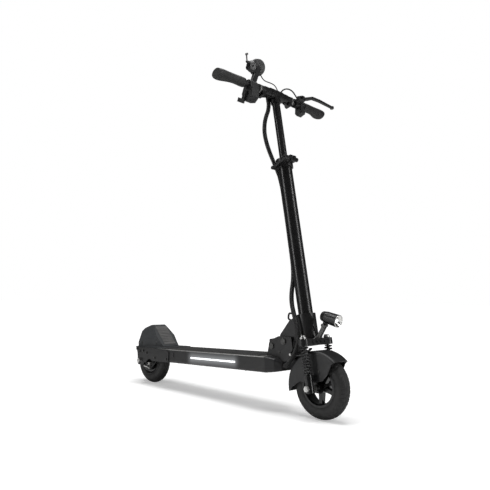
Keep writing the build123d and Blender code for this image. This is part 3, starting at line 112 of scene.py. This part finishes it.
class Finish:
    """A material, its shader and the nodes that feed it."""

    def __init__(self, name, colour, roughness, **sockets):
        self.material = bpy.data.materials.new(name)
        self.material.use_nodes = True
        self.nodes = self.material.node_tree.nodes
        self.links = self.material.node_tree.links
        self.shader = self.nodes["Principled BSDF"]
        self.set(self.shader, {"Base Color": (*colour, 1), "Roughness": roughness})
        self.set(self.shader, {key.replace("_", " ").title(): value for key, value in sockets.items()})
        self.place = self.node("ShaderNodeTexCoord", out="Object")
        self.material.diffuse_color = (*colour, 1)

    def set(self, node, sockets):
        for key, value in sockets.items():
            if isinstance(value, Value):
                self.links.new(value.socket, node.inputs[key])
            else:
                node.inputs[key].default_value = value

    def node(self, kind, sockets=None, out=0, **settings):
        """A node with its settings, then its sockets, given as the output that is asked for."""
        made = self.nodes.new(kind)
        for key, value in settings.items():
            setattr(made, key, value)
        self.set(made, sockets or {})
        return Value(self, made.outputs[out])

    def maths(self, operation, *terms):
        return self.node("ShaderNodeMath", dict(enumerate(terms)), operation=operation)

    def noise(self, scale, detail=3, roughness=0.5):
        return self.node("ShaderNodeTexNoise", {"Vector": self.place, "Scale": scale, "Detail": detail,
                                                "Roughness": roughness})

    def cells(self, scale):
        return self.node("ShaderNodeTexVoronoi", {"Vector": self.place, "Scale": scale}, out="Distance")

    def ramp(self, value, low, high, dark=0, light=1):
        return self.node("ShaderNodeMapRange", {0: value, 1: low, 2: high, 3: dark, 4: light})

    def blend(self, share, low, high):
        """A colour between two, by a value from 0 to 1."""
        made = self.nodes.new("ShaderNodeMix")
        made.data_type = "RGBA"
        self.set(made, {"Factor": share})
        self.set(made, {6: (*low, 1), 7: (*high, 1)})
        return Value(self, made.outputs[2])

    def colour(self, value):
        self.set(self.shader, {"Base Color": value})

    def rough(self, value):
        self.set(self.shader, {"Roughness": value})

    def bump(self, height, distance, strength):
        """Relief of a height from 0 to 1, as deep as distance in metres."""
        made = self.nodes.new("ShaderNodeBump")
        self.set(made, {"Height": height, "Distance": distance, "Strength": strength})
        self.links.new(made.outputs[0], self.shader.inputs["Normal"])


# ------------------------------------------------------------------ finishes
# The side light's middle, half its length, how far the glow painted for its spill reaches, and the deck's
# rise per metre forward.
SPILL_X, SPILL_Z = 0.016, 0.1461
SPILL_HALF = 0.118
SPILL_REACH = 0.040
PAINTED_GLOW_COLOUR = (0.30, 0.31, 0.32)
DECK_RISE = 0.0349
CROWN_TOP = stem(150).dot(STEM_UP)


def paint(name, tone, gloss, grain=900, dust=0.003):
    """Satin powder coat: fine orange peel, faint smudges and a thin film of dust."""
    made = Finish(name, (tone, tone, tone * 1.05), gloss)
    smudge = made.ramp(made.noise(14, 5, 0.6), 0.35, 0.75)
    film = made.ramp(made.noise(60, 4, 0.7), 0.45, 0.8)
    made.colour(made.blend(film, (tone, tone, tone * 1.05), (tone + dust, tone + dust, tone + dust)))
    made.rough(smudge * 0.06 + made.ramp(made.noise(220, 2), 0.3, 0.7, gloss - 0.03, gloss + 0.03))
    made.bump(made.noise(grain, 2), 0.00002, 0.35)
    return made.material


def paint_with_painted_light(name, tone, gloss):
    """The deck's coat, with the side light's spill painted as a glow over the metal round it."""
    made = Finish(name, (tone, tone, tone * 1.05), gloss)
    film = made.ramp(made.noise(60, 4, 0.7), 0.45, 0.8)
    made.colour(made.blend(film, (tone, tone, tone * 1.05), (tone * 1.6, tone * 1.6, tone * 1.6)))
    made.rough(made.ramp(made.noise(14, 5, 0.6), 0.35, 0.75, gloss - 0.03, gloss + 0.07))
    made.bump(made.noise(650, 2), 0.00002, 0.35)
    nearest = made.node("ShaderNodeVectorMath", {
        0: made.place, 1: (SPILL_X, 0, SPILL_Z)}, operation="SUBTRACT")
    parts = made.node("ShaderNodeSeparateXYZ", {0: nearest})
    along = made.maths("MAXIMUM", made.maths("ABSOLUTE", parts) - SPILL_HALF, 0)
    above = Value(made, parts.socket.node.outputs["Z"]) - parts * DECK_RISE
    away = made.maths("SQRT", made.maths("POWER", along, 2) + made.maths("POWER", above, 2))
    # Painted light: an emission glow stands in for the side light's spill, strongest next to the light and
    # gone at SPILL_REACH.
    glow_painted = made.maths("POWER", made.ramp(away, 0.0, SPILL_REACH, 1, 0), 2.4)
    made.set(made.shader, {"Emission Color": made.blend(glow_painted, (0, 0, 0), PAINTED_GLOW_COLOUR),
                           "Emission Strength": 1.0})
    return made.material


def moulding(name, colour, gloss, grain=1500, depth=0.00010):
    """Moulded plastic: spark-eroded grain with slightly shinier worn patches."""
    made = Finish(name, colour, gloss)
    worn = made.ramp(made.noise(22, 4, 0.6), 0.4, 0.75)
    made.colour(made.blend(worn, colour, tuple(c * 1.25 + 0.002 for c in colour)))
    made.rough(gloss + 0.05 - worn * 0.12)
    made.bump(made.cells(grain) * 0.7 + made.noise(grain * 0.4, 2) * 0.3, depth, 0.6)
    return made.material


def rubber(name, tone, gloss=0.75, grain=700, depth=0.00014):
    """Rubber: matt, with a soft mottled bloom and fine pitting."""
    made = Finish(name, (tone, tone, tone), gloss)
    bloom = made.ramp(made.noise(34, 5, 0.65), 0.35, 0.8)
    pale = tuple(tone * share + 0.002 for share in (1.7, 1.65, 1.6))
    made.colour(made.blend(bloom, (tone, tone, tone), pale))
    made.rough(gloss - made.ramp(made.noise(90, 2), 0.3, 0.7, 0, 0.12))
    made.bump(made.noise(grain, 3, 0.7), depth, 0.6)
    return made.material


def bare_metal(name, tone, gloss, stretch=(40, 1600, 1600)):
    """Plated or turned metal: fine lathe lines and small tarnished patches."""
    made = Finish(name, (tone, tone, tone * 0.985), gloss, metallic=1.0)
    lines = made.node("ShaderNodeTexNoise", {
        "Vector": made.node("ShaderNodeMapping", {"Vector": made.place, "Scale": stretch}),
        "Scale": 1.0, "Detail": 2.0})
    tarnish = made.ramp(made.noise(130, 4, 0.6), 0.45, 0.75)
    made.colour(made.blend(tarnish, (tone, tone, tone * 0.985), (tone * 0.62, tone * 0.6, tone * 0.56)))
    made.rough(made.ramp(lines, 0.3, 0.7, gloss - 0.06, gloss + 0.08) + tarnish * 0.12)
    made.bump(lines, 0.00003, 0.5)
    return made.material


def lit_diffuser(name, colour, strength):
    """A lit translucent strip, its glow varying faintly at random."""
    made = Finish(name, colour, 0.35, emission_strength=strength)
    glow = made.ramp(made.noise(240, 2), 0.3, 0.7, 0.9, 1.0)
    made.set(made.shader, {"Emission Color": made.blend(glow, tuple(c * 0.8 for c in colour), colour)})
    return made.material


def lens(name, colour, gloss=0.08):
    """A moulded reflector lens: small prisms under a polished face."""
    made = Finish(name, colour, gloss, coat_weight=1.0, coat_roughness=0.03)
    prisms = made.cells(420)
    made.colour(made.blend(made.ramp(prisms, 0.1, 0.6), colour, tuple(c * 0.35 for c in colour)))
    made.bump(prisms, 0.0005, 0.8)
    return made.material


def domed_rods(name):
    """Black rods under bright zinc nuts, which sit above the crown."""
    made = Finish(name, (0.62, 0.62, 0.61), 0.28)
    height = made.node("ShaderNodeVectorMath", {0: made.place, 1: tuple(STEM_UP)}, out="Value",
                       operation="DOT_PRODUCT")
    bright = height > CROWN_TOP
    made.colour(made.blend(bright, (0.012, 0.012, 0.013), (0.62, 0.62, 0.61)))
    made.set(made.shader, {"Metallic": bright})
    made.rough(made.ramp(made.noise(260, 3), 0.3, 0.7, 0.24, 0.36))
    return made.material


finishes = {
    "satin": paint("satin_black_paint", 0.0062, 0.33),
    "stem": paint("stem_black_paint", 0.0055, 0.26, grain=1100),
    "deck": paint_with_painted_light("deck_black_coat_painted_spill", 0.0060, 0.38),
    "gloss": paint("gloss_black_paint", 0.0050, 0.18, grain=500),
    "lid": bare_metal("anodised_grey", 0.42, 0.38),
    "mat": rubber("grip_mat_rubber", 0.030, 0.8, 420, 0.0004),
    "fender": moulding("fender_grey_moulding", (0.026, 0.028, 0.030), 0.62),
    "moulding": moulding("black_moulding", (0.0085, 0.0085, 0.0092), 0.46),
    "fine_moulding": moulding("smooth_black_moulding", (0.0070, 0.0070, 0.0076), 0.34, 2200, 0.00005),
    "tread": rubber("step_rubber", 0.070, 0.7, 600),
    "tyre": rubber("tyre_rubber", 0.0085, 0.68, 900),
    "grip": rubber("grip_rubber", 0.0095, 0.62, 1400, 0.0001),
    "sheath": rubber("cable_sheath", 0.0070, 0.45, 1600, 0.00005),
    "zinc": bare_metal("bright_zinc", 0.62, 0.28),
    "dark_bolt": bare_metal("black_oxide_steel", 0.10, 0.34),
    "spring": paint("spring_black_coat", 0.012, 0.22, grain=1500),
    "rods": domed_rods("domed_rods"),
    "bright": bare_metal("polished_reflector", 0.86, 0.14),
    "collar": bare_metal("anodised_collar", 0.30, 0.36),
    "light": lit_diffuser("lit_diffuser", (0.95, 0.98, 1.0), 1.3),
    "red": lens("red_lens", (0.42, 0.012, 0.010)),
    "glass": lens("headlight_reflector", (0.50, 0.52, 0.55)),
    "cells": moulding("shrink_wrap", (0.02, 0.05, 0.16), 0.35),
}
wears = {
    "deck_frame": "deck", "deck_lid": "lid", "grip_mat": "mat", "side_lights": "light", "power_pack": "cells",
    "nose_cap": "moulding", "nose_arms": "satin", "deck_bolts": "dark_bolt", "rear_plates": "satin",
    "rear_axle": "zinc", "brake_plate": "satin", "adjuster": "zinc", "rear_brake_cable": "sheath",
    "rear_fender": "fender", "fender_tread": "tread", "tail_light": "red", "stand_bracket": "satin",
    "charge_cap": "moulding", "latch_pedal": "moulding", "stand_leg": "satin", "brake_arm": "satin",
    "hub_motor": "gloss", "rear_tyre": "tyre", "neck": "satin", "neck_hardware": "zinc",
    "outer_tube": "stem", "crown": "satin", "shock_rods": "rods", "stem_clamp": "satin",
    "headlight_bracket": "dark_bolt", "lower_loom": "sheath", "fork_springs": "spring",
    "clamp_lever": "satin", "fork_legs": "gloss", "front_axle": "zinc", "front_fender": "moulding",
    "front_rim": "gloss", "front_tyre": "tyre", "headlight": "fine_moulding", "headlight_lens": "glass",
    "inner_stem": "stem", "upper_loom": "sheath", "bar_right": "satin", "grip_right": "grip",
    "throttle": "moulding", "display": "fine_moulding", "bell": "fine_moulding", "display_cable": "sheath",
    "bar_left": "satin", "grip_left": "grip", "brake_perch": "satin", "switch_box": "moulding",
    "brake_cable": "sheath", "lock_sleeve_right": "collar", "lock_sleeve_left": "collar",
    "throttle_trigger": "fine_moulding", "display_button": "collar", "bell_lever": "dark_bolt",
    "brake_lever": "satin", "switch_button": "tread",
}
# Every CAD node wears one finish.
for node, finish in wears.items():
    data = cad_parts[node].data
    data.materials.clear()
    data.materials.append(finishes[finish])


# ------------------------------------------------------------------ shapes that repeat
def new_piece(name, data, body, finish):
    """An object at the origin that rides on a body and wears a finish."""
    piece = bpy.data.objects.new(name, data)
    bpy.context.collection.objects.link(piece)
    if finish:
        data.materials.append(finishes[finish])
    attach(piece, body)
    return piece


class Tree:
    """A Geometry Nodes tree with named inputs."""

    def __init__(self, name, **inputs):
        self.group = bpy.data.node_groups.new(name, "GeometryNodeTree")
        face = self.group.interface
        face.new_socket("Geometry", in_out="OUTPUT", socket_type="NodeSocketGeometry")
        face.new_socket("Geometry", in_out="INPUT", socket_type="NodeSocketGeometry")
        self.keys = []
        kinds = {float: "NodeSocketFloat", int: "NodeSocketInt", str: "NodeSocketMaterial"}
        for key, value in inputs.items():
            made = face.new_socket(key, in_out="INPUT", socket_type=kinds[type(value)])
            if not isinstance(value, str):
                made.default_value = value
            self.keys.append((made.identifier, value))
        self.source = self.group.nodes.new("NodeGroupInput")
        self.sink = self.group.nodes.new("NodeGroupOutput")

    def given(self, key):
        return self.source.outputs[key]

    def node(self, kind, sockets=None, **settings):
        """A node with its settings, then its sockets, given as its first output."""
        made = self.group.nodes.new(kind)
        for key, value in settings.items():
            setattr(made, key, value)
        for key, value in (sockets or {}).items():
            if isinstance(value, bpy.types.NodeSocket):
                self.group.links.new(value, made.inputs[key])
            else:
                made.inputs[key].default_value = value
        return made.outputs[0]

    def end(self, shape):
        """Realize, wear the finish and hand the shape out."""
        real = self.node("GeometryNodeRealizeInstances", {"Geometry": shape})
        worn = self.node("GeometryNodeSetMaterial", {"Geometry": real, "Material": self.given("Finish")})
        self.group.links.new(worn, self.sink.inputs[0])

    def grow(self, name, seed, body, slot):
        """Run the tree on a seed object and keep the result as a plain mesh."""
        bpy.context.collection.objects.link(seed)
        live = seed.modifiers.new(name, "NODES")
        live.node_group = self.group
        for identifier, value in self.keys:
            live[identifier] = finishes[value] if isinstance(value, str) else value
        view = bpy.context.evaluated_depsgraph_get()
        mesh = bpy.data.meshes.new_from_object(seed.evaluated_get(view))
        mesh.name = name
        bpy.data.objects.remove(seed)
        return new_piece(name, mesh, body, None)


def wrap_tree():
    """Turns of spiral wrap set side by side along a cable."""
    tree = Tree("spiral_wrap", Pitch=0.0042, Radius=0.0062, Thickness=0.0017, Finish="sheath")
    spaced = tree.node("GeometryNodeResampleCurve",
                       {0: tree.given("Geometry"), 3: tree.given("Pitch")}, mode="LENGTH")
    points = tree.node("GeometryNodeCurveToPoints", {"Curve": spaced}, mode="EVALUATED")
    ring = tree.node("GeometryNodeCurvePrimitiveCircle", {"Resolution": 18, "Radius": tree.given("Radius")})
    bead = tree.node("GeometryNodeCurvePrimitiveCircle", {"Resolution": 6, "Radius": tree.given("Thickness")})
    turn = tree.node("GeometryNodeCurveToMesh", {"Curve": ring, "Profile Curve": bead})
    set_out = tree.node("GeometryNodeInstanceOnPoints",
                        {"Points": points, "Instance": turn, "Rotation": points.node.outputs["Rotation"]})
    tree.end(tree.node("GeometryNodeSetShadeSmooth", {"Geometry": tree.node(
        "GeometryNodeRealizeInstances", {"Geometry": set_out})}))
    return tree


def stud_tree():
    """Low round studs at every vertex, standing along its facing."""
    tree = Tree("studs", Radius=0.0012, Height=0.0006, Finish="mat", Sides=8)
    facing = tree.node("GeometryNodeInputNamedAttribute", {"Name": "facing"}, data_type="FLOAT_VECTOR")
    turned = tree.node("FunctionNodeAlignRotationToVector", {"Vector": facing}, axis="Z")
    stud = tree.node("GeometryNodeMeshCone", {
        "Vertices": tree.given("Sides"), "Radius Bottom": tree.given("Radius"),
        "Radius Top": tree.node("ShaderNodeMath", {0: tree.given("Radius"), 1: 0.62}, operation="MULTIPLY"),
        "Depth": tree.given("Height")})
    tree.end(tree.node("GeometryNodeInstanceOnPoints",
                       {"Points": tree.given("Geometry"), "Instance": stud, "Rotation": turned}))
    return tree


def screw_tree():
    """Socket screws: a rounded head with a six-sided recess, at every vertex."""
    tree = Tree("socket_screws", Radius=0.0042, Height=0.0022, Finish="dark_bolt")
    facing = tree.node("GeometryNodeInputNamedAttribute", {"Name": "facing"}, data_type="FLOAT_VECTOR")
    turned = tree.node("FunctionNodeAlignRotationToVector", {"Vector": facing}, axis="Z")
    head = tree.node("GeometryNodeMeshCone", {
        "Vertices": 24, "Side Segments": 1, "Radius Bottom": tree.given("Radius"),
        "Radius Top": tree.node("ShaderNodeMath", {0: tree.given("Radius"), 1: 0.8}, operation="MULTIPLY"),
        "Depth": tree.given("Height")})
    recess = tree.node("GeometryNodeMeshCylinder", {
        "Vertices": 6, "Radius": tree.node("ShaderNodeMath", {0: tree.given("Radius"), 1: 0.5},
                                           operation="MULTIPLY"), "Depth": 0.004})
    lifted = tree.node("GeometryNodeTransform", {
        "Geometry": recess, "Translation": tree.node("ShaderNodeCombineXYZ", {2: tree.given("Height")})})
    cut = tree.node("GeometryNodeMeshBoolean", {"Mesh 1": head, "Mesh 2": lifted}, operation="DIFFERENCE")
    tree.end(tree.node("GeometryNodeInstanceOnPoints",
                       {"Points": tree.given("Geometry"), "Instance": cut, "Rotation": turned}))
    return tree


def marks(name, places):
    """A seed object: vertices that carry the direction each of them faces."""
    mesh = bpy.data.meshes.new(name)
    mesh.from_pydata([tuple(at) for at, _ in places], [], [])
    facing = mesh.attributes.new("facing", "FLOAT_VECTOR", "POINT")
    for here, (_, way) in zip(facing.data, places):
        here.vector = tuple(way)
    return bpy.data.objects.new(name, mesh)


def meets(node, start, way):
    """Where a line from start first meets a CAD node, and how that face points."""
    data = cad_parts[node].data
    skin = BVHTree.FromPolygons([v.co for v in data.vertices], [tuple(p.vertices) for p in data.polygons])
    at, normal, _, _ = skin.ray_cast(Vector(start), Vector(way).normalized())
    return at, normal if normal.dot(Vector(way)) < 0 else -normal


# ------------------------------------------------------------------ cables
LOOM_RADIUS, DISPLAY_LEAD_RADIUS, BRAKE_LEAD_RADIUS = 5.6 * MM, 1.8 * MM, 2.5 * MM
REAR_CABLE_Y, REAR_CABLE_Z = -45.3, 74


def cable(name, node, body, points, radius, length, lay):
    """A cable drawn on one smooth line between its two ends."""
    data = bpy.data.curves.new(name, "CURVE")
    data.dimensions = "3D"
    line = data.splines.new("NURBS")
    line.points.add(len(points) - 1)
    for control, at in zip(line.points, points):
        control.co = (*at, 1)
    line.order_u = 3
    line.use_endpoint_u = True
    line.resolution_u = 14
    data.bevel_depth = radius
    data.bevel_resolution = 5
    data.use_fill_caps = True
    piece = new_piece(name, data, body, "sheath")
    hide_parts(node)
    return piece, dict(exit=tuple(points[0]), length=length, diameter=2 * radius, far_end="object",
                       stiffness="medium", lay=lay)


def line_of(piece):
    """The bare centre line of a cable, as the seed of what is wound on it."""
    data = piece.data.copy()
    data.bevel_depth = 0
    data.materials.clear()
    return bpy.data.objects.new(f"{piece.name}_line", data)


wraps = wrap_tree()
upper_route = [stem(BAR_HEIGHT + h, x, y) for h, x, y in (
    (-24.2, -19, -17), (-50, -20, -18), (-84, -36, -28), (-130, -45, -33), (-180, -45, -28),
    (-226, -42, -16), (-262, -41, -1), (-300, -36, 7))]
lower_route = [stem(h, x, y) for h, x, y in (
    (725, -36, 7), (686, -32, 9), (630, -31.5, 8), (550, -31.2, 8.6), (470, -31.6, 8), (400, -31.2, 7),
    (350, -33, 0), (310, -34, -16), (270, -27, -32), (230, -14, -42), (195, -6, -44), (158, -8, -44),
    (128, -17, -46))] + [Vector(at) * MM for at in ((384, -47, 184), (362, -43, 163), (338, -32, 152))]
display_route = [stem(BAR_HEIGHT + h, x, y) for h, x, y in (
    (56, 8, -73), (44, 9, -68), (36, 8, -54), (34, 12, -34), (36, 10, -12), (34, 5, 8), (22, 3, 16))]
brake_route = [stem(BAR_HEIGHT + h, x, y) for h, x, y in (
    (0, 30, 90), (4, 34, 78), (18, 36, 62), (30, 26, 48), (30, 10, 38), (22.4, 1, 36))]
rear_route = [Vector(at) * MM for at in (
    (-358.5, REAR_CABLE_Y, 128), (-366, REAR_CABLE_Y, 120), (-382, REAR_CABLE_Y, 106),
    (-396, REAR_CABLE_Y, 88), (-416, REAR_CABLE_Y, 76), (-442.8, REAR_CABLE_Y, REAR_CABLE_Z))]
for name, node, body, points, radius, length, lay, wound in (
        ("upper_loom_core", "upper_loom", "stem_top", upper_route, LOOM_RADIUS, 0.284, "hanging", True),
        ("lower_loom_core", "lower_loom", "fork", lower_route, LOOM_RADIUS, 0.704, "taut", True),
        ("display_lead", "display_cable", "bar_right", display_route, DISPLAY_LEAD_RADIUS, 0.104,
         "hanging", False),
        ("brake_lead", "brake_cable", "bar_left", brake_route, BRAKE_LEAD_RADIUS, 0.083, "hanging", False),
        ("rear_brake_lead", "rear_brake_cable", "deck", rear_route, BRAKE_LEAD_RADIUS, 0.103,
         "hanging", False)):
    piece, facts = cable(name, node, body, points, radius, length, lay)
    bare = line_of(piece)
    if wound:
        wraps.grow(name.replace("core", "wrap"), bare, body, "cable")

# ------------------------------------------------------------------ tyres
TYRE_STEPS = 360
LUGS = 45
TYRE_HALF_WIDTH = 25
# The section's round part: its radius, and how far its centre stands from the axle.
ROUND_R, ROUND_CENTRE_R = 25.42, 74.58
ROUND_STEPS = 20
# Tread pattern: where it begins, where the plain grooves lie, and how deep each kind of cut is.
TREAD_FROM_R = 88
SIDE_GROOVE, SIDE_GROOVE_DEPTH = (67.5, 71.5), 0.5
RING_GROOVE, RING_GROOVE_DEPTH = (7.6, 10.5), 1.5
LUG_CUT_SHARE, LUG_CUT_DEPTH = 0.26, 1.7
LUG_SLANT = 26
WAVE_SWING, WAVE_HALF_WIDTH, WAVE_DEPTH = 2.0, 1.2, 1.3


def tyre_section():
    """Half width and radius round a tyre's outer side, bead to bead, in millimetres."""
    angles = [radians(3 + 87 * i / ROUND_STEPS) for i in range(ROUND_STEPS + 1)]
    arc = [(ROUND_R * cos(a), ROUND_CENTRE_R + ROUND_R * sin(a)) for a in angles]
    wall = [(22, 62), (23.2, 66), (24.2, 70), (24.9, 74)]
    half = wall + [(min(y, TYRE_HALF_WIDTH), r) for y, r in arc]
    return [(-y, r) for y, r in half] + [(y, r) for y, r in reversed(half[:-1])]


def tread_depth(y, r, turn):
    """How deep the tyre is cut at a place across and round it, in millimetres."""
    if r < TREAD_FROM_R:
        return SIDE_GROOVE_DEPTH if SIDE_GROOVE[0] < r < SIDE_GROOVE[1] else 0
    if abs(y) > RING_GROOVE[1]:
        phase = (turn * LUGS + (abs(y) / LUG_SLANT) + (0.5 if y > 0 else 0)) % 1
        return LUG_CUT_DEPTH if phase < LUG_CUT_SHARE else 0
    if RING_GROOVE[0] < abs(y) < RING_GROOVE[1]:
        return RING_GROOVE_DEPTH
    return WAVE_DEPTH if abs(y - WAVE_SWING * sin(turn * LUGS * tau)) < WAVE_HALF_WIDTH else 0


def make_tyre(name, node, body, x):
    """A treaded tyre in the place of a CAD tyre, with its axle at x millimetres."""
    section = tyre_section()
    mesh = bpy.data.meshes.new(name)
    work = bmesh.new()
    rows = []
    for step in range(TYRE_STEPS):
        turn = step / TYRE_STEPS
        row = []
        for y, r in section:
            deep = r - tread_depth(y, r, turn)
            row.append(work.verts.new(((x + deep * cos(tau * turn)) * MM, y * MM,
                                       (AXLE_Z + deep * sin(tau * turn)) * MM)))
        rows.append(row)
    for here, after in zip(rows, rows[1:] + rows[:1]):
        for a in range(len(section)):
            b = (a + 1) % len(section)
            work.faces.new((here[a], here[b], after[b], after[a]))
    bmesh.ops.recalc_face_normals(work, faces=work.faces)
    for face in work.faces:
        face.smooth = True
    work.to_mesh(mesh)
    work.free()
    piece = new_piece(name, mesh, body, "tyre")
    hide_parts(node)


make_tyre("front_tyre_treaded", "front_tyre", "front_wheel", AXLE_X)
make_tyre("rear_tyre_treaded", "rear_tyre", "rear_wheel", -AXLE_X)

# ------------------------------------------------------------------ headlight
LAMP_AT = Vector((469, 0, 319))
LAMP_DIP = radians(14)
LAMP_WAY = Vector((cos(LAMP_DIP), 0, -sin(LAMP_DIP)))
LAMP_STEPS = 72
LAMP_RADIUS, LAMP_SHELL = 20.0, 2.3
LENS_R = LAMP_RADIUS - LAMP_SHELL


def turned(name, body, slot, finish, profile):
    """A shape turned on the lamp's axis from radii and depths, in millimetres."""
    across = Vector((0, 1, 0))
    above = LAMP_WAY.cross(across)
    work = bmesh.new()
    rows = []
    for step in range(LAMP_STEPS):
        angle = tau * step / LAMP_STEPS
        out = across * cos(angle) + above * sin(angle)
        rows.append([work.verts.new((LAMP_AT + LAMP_WAY * depth + out * radius) * MM)
                     for radius, depth in profile])
    for here, after in zip(rows, rows[1:] + rows[:1]):
        for a in range(len(profile) - 1):
            work.faces.new((here[a], after[a], after[a + 1], here[a + 1]))
    bmesh.ops.remove_doubles(work, verts=work.verts, dist=0.00001)
    bmesh.ops.recalc_face_normals(work, faces=work.faces)
    for face in work.faces:
        face.smooth = True
    mesh = bpy.data.meshes.new(name)
    work.to_mesh(mesh)
    work.free()
    return new_piece(name, mesh, body, finish)


bowl = turned("headlight_bowl", "headlight", "lens", "bright", (
    (0, 51), (LENS_R, 51), (LENS_R, 61.5), (LENS_R - 1.5, 61.8), (LENS_R - 4, 59.5), (LENS_R - 8, 57),
    (LENS_R - 12, 54.5), (6, 53), (0, 53)))
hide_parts("headlight_lens")
turned("headlight_emitter", "headlight", "lens", "light", (
    (0, 53.2), (5, 53.2), (4.6, 56), (3, 58), (0, 58.8)))
turned("headlight_bezel", "headlight", "lens", "bright", (
    (LENS_R - 1.2, 61.9), (LENS_R - 0.2, 62.6), (LENS_R + 0.9, 63.4), (LENS_R + 2.0, 63), (LENS_R + 2.2, 62),
    (LENS_R - 1.2, 61.9)))
turned("headlight_fins", "headlight", "moulded", "fine_moulding", (
    (15.2, 3), (16.4, 3.4), (16.4, 5), (15.6, 5.4), (15.7, 8), (16.9, 8.4), (16.9, 10), (16.2, 10.4),
    (16.3, 13), (17.6, 13.4), (17.6, 15), (15.2, 15.2), (15.2, 3)))

# ------------------------------------------------------------------ deck mat studs
DECK_TURN = Matrix.Rotation(-radians(2), 4, "Y")
DECK_CENTRE = Vector((0, 0, 0.1465))
MAT_TOP = 27.4
STUD_COLUMNS, STUD_START, STUD_PITCH = 62, -276, 8.4
STUD_ROWS, STUD_ROW_PITCH, STUD_PAIR_HALF_GAP = range(-3, 4), 18, 3.2
studs = []
for column in range(STUD_COLUMNS):
    for row in STUD_ROWS:
        for shift in (-STUD_PAIR_HALF_GAP, STUD_PAIR_HALF_GAP):
            local = Vector((STUD_START + column * STUD_PITCH, row * STUD_ROW_PITCH + shift, MAT_TOP)) * MM
            studs.append((DECK_TURN @ local + DECK_CENTRE, DECK_TURN @ Vector((0, 0, 1))))
stud_tree().grow("mat_studs", marks("mat_stud_seed", studs), "deck", "mat")

# ------------------------------------------------------------------ socket screws
# Each screw sits where a line across the scooter, begun this far out, first meets a node at an x and z.
SCREW_LINE_START = 0.2
SCREW_PLACES = {
    "deck": (("rear_fender", -0.385, 0.178), ("rear_fender", -0.470, 0.176), ("nose_arms", 0.318, 0.196)),
    "fork_lower": (("front_fender", 0.445, 0.150), ("front_fender", 0.482, 0.150)),
    "headlight": (("headlight", 0.500, 0.322),),
}
screws = screw_tree()
for body, wanted in SCREW_PLACES.items():
    found = [meets(node, (x, side * SCREW_LINE_START, z), (0, -side, 0))
             for node, x, z in wanted for side in (-1, 1)]
    screws.grow(f"{body}_screws", marks(f"{body}_screw_seed", found), body, "dark_bolt")

# ------------------------------------------------------------------ studio
FLOOR_HALF = 40
# The floor glows more away from the scooter, over this span of distances in metres.
FLOOR_GLOW = 0.36
GLOW_FROM, GLOW_TO = 0.7, 2.6
SKY_FILL = 0.07


def studio_floor():
    """A pale floor that looks white to the camera."""
    mesh = bpy.data.meshes.new("studio_floor")
    corners = [(x * FLOOR_HALF, y * FLOOR_HALF, 0) for x, y in ((-1, -1), (1, -1), (1, 1), (-1, 1))]
    mesh.from_pydata(corners, [], [(0, 1, 2, 3)])
    floor = bpy.data.objects.new("studio_floor", mesh)
    bpy.context.collection.objects.link(floor)
    pale = Finish("studio_white", (0.86, 0.86, 0.86), 0.9)
    seen = pale.node("ShaderNodeLightPath")
    away = pale.node("ShaderNodeVectorMath", {0: pale.place}, out="Value", operation="LENGTH")
    glow = pale.ramp(away, GLOW_FROM, GLOW_TO, FLOOR_GLOW, 1.0)
    pale.set(pale.shader, {"Emission Color": (1, 1, 1, 1), "Emission Strength": seen * glow})
    mesh.materials.append(pale.material)


def soft_light(name, at, towards, size, power):
    """A rectangular soft box facing a place."""
    data = bpy.data.lights.new(name, "AREA")
    data.shape = "RECTANGLE"
    data.size, data.size_y = size
    data.energy = power
    light = bpy.data.objects.new(name, data)
    light.location = at
    light.rotation_euler = (Vector(towards) - Vector(at)).to_track_quat("-Z", "Y").to_euler()
    bpy.context.collection.objects.link(light)


studio_floor()
# The sky is white to the camera and only a weak fill to everything else.
world = bpy.data.worlds.new("studio")
world.use_nodes = True
bpy.context.scene.world = world
sky = world.node_tree.nodes["Background"]
sky.inputs["Color"].default_value = (1, 1, 1, 1)
seen = world.node_tree.nodes.new("ShaderNodeLightPath")
shown = world.node_tree.nodes.new("ShaderNodeMapRange")
shown.inputs["To Min"].default_value = SKY_FILL
world.node_tree.links.new(seen.outputs["Is Camera Ray"], shown.inputs["Value"])
world.node_tree.links.new(shown.outputs["Result"], sky.inputs["Strength"])
soft_light("overhead", (0.2, -0.3, 3.2), (0, 0, 0), (2.4, 1.8), 95)
soft_light("strip_left", (-0.9, -2.6, 1.1), (0.3, 0, 0.6), (0.35, 2.2), 22)
soft_light("strip_right", (2.7, 0.9, 1.2), (0.3, 0, 0.6), (0.35, 2.2), 26)
bpy.context.scene.view_settings.view_transform = "Standard"
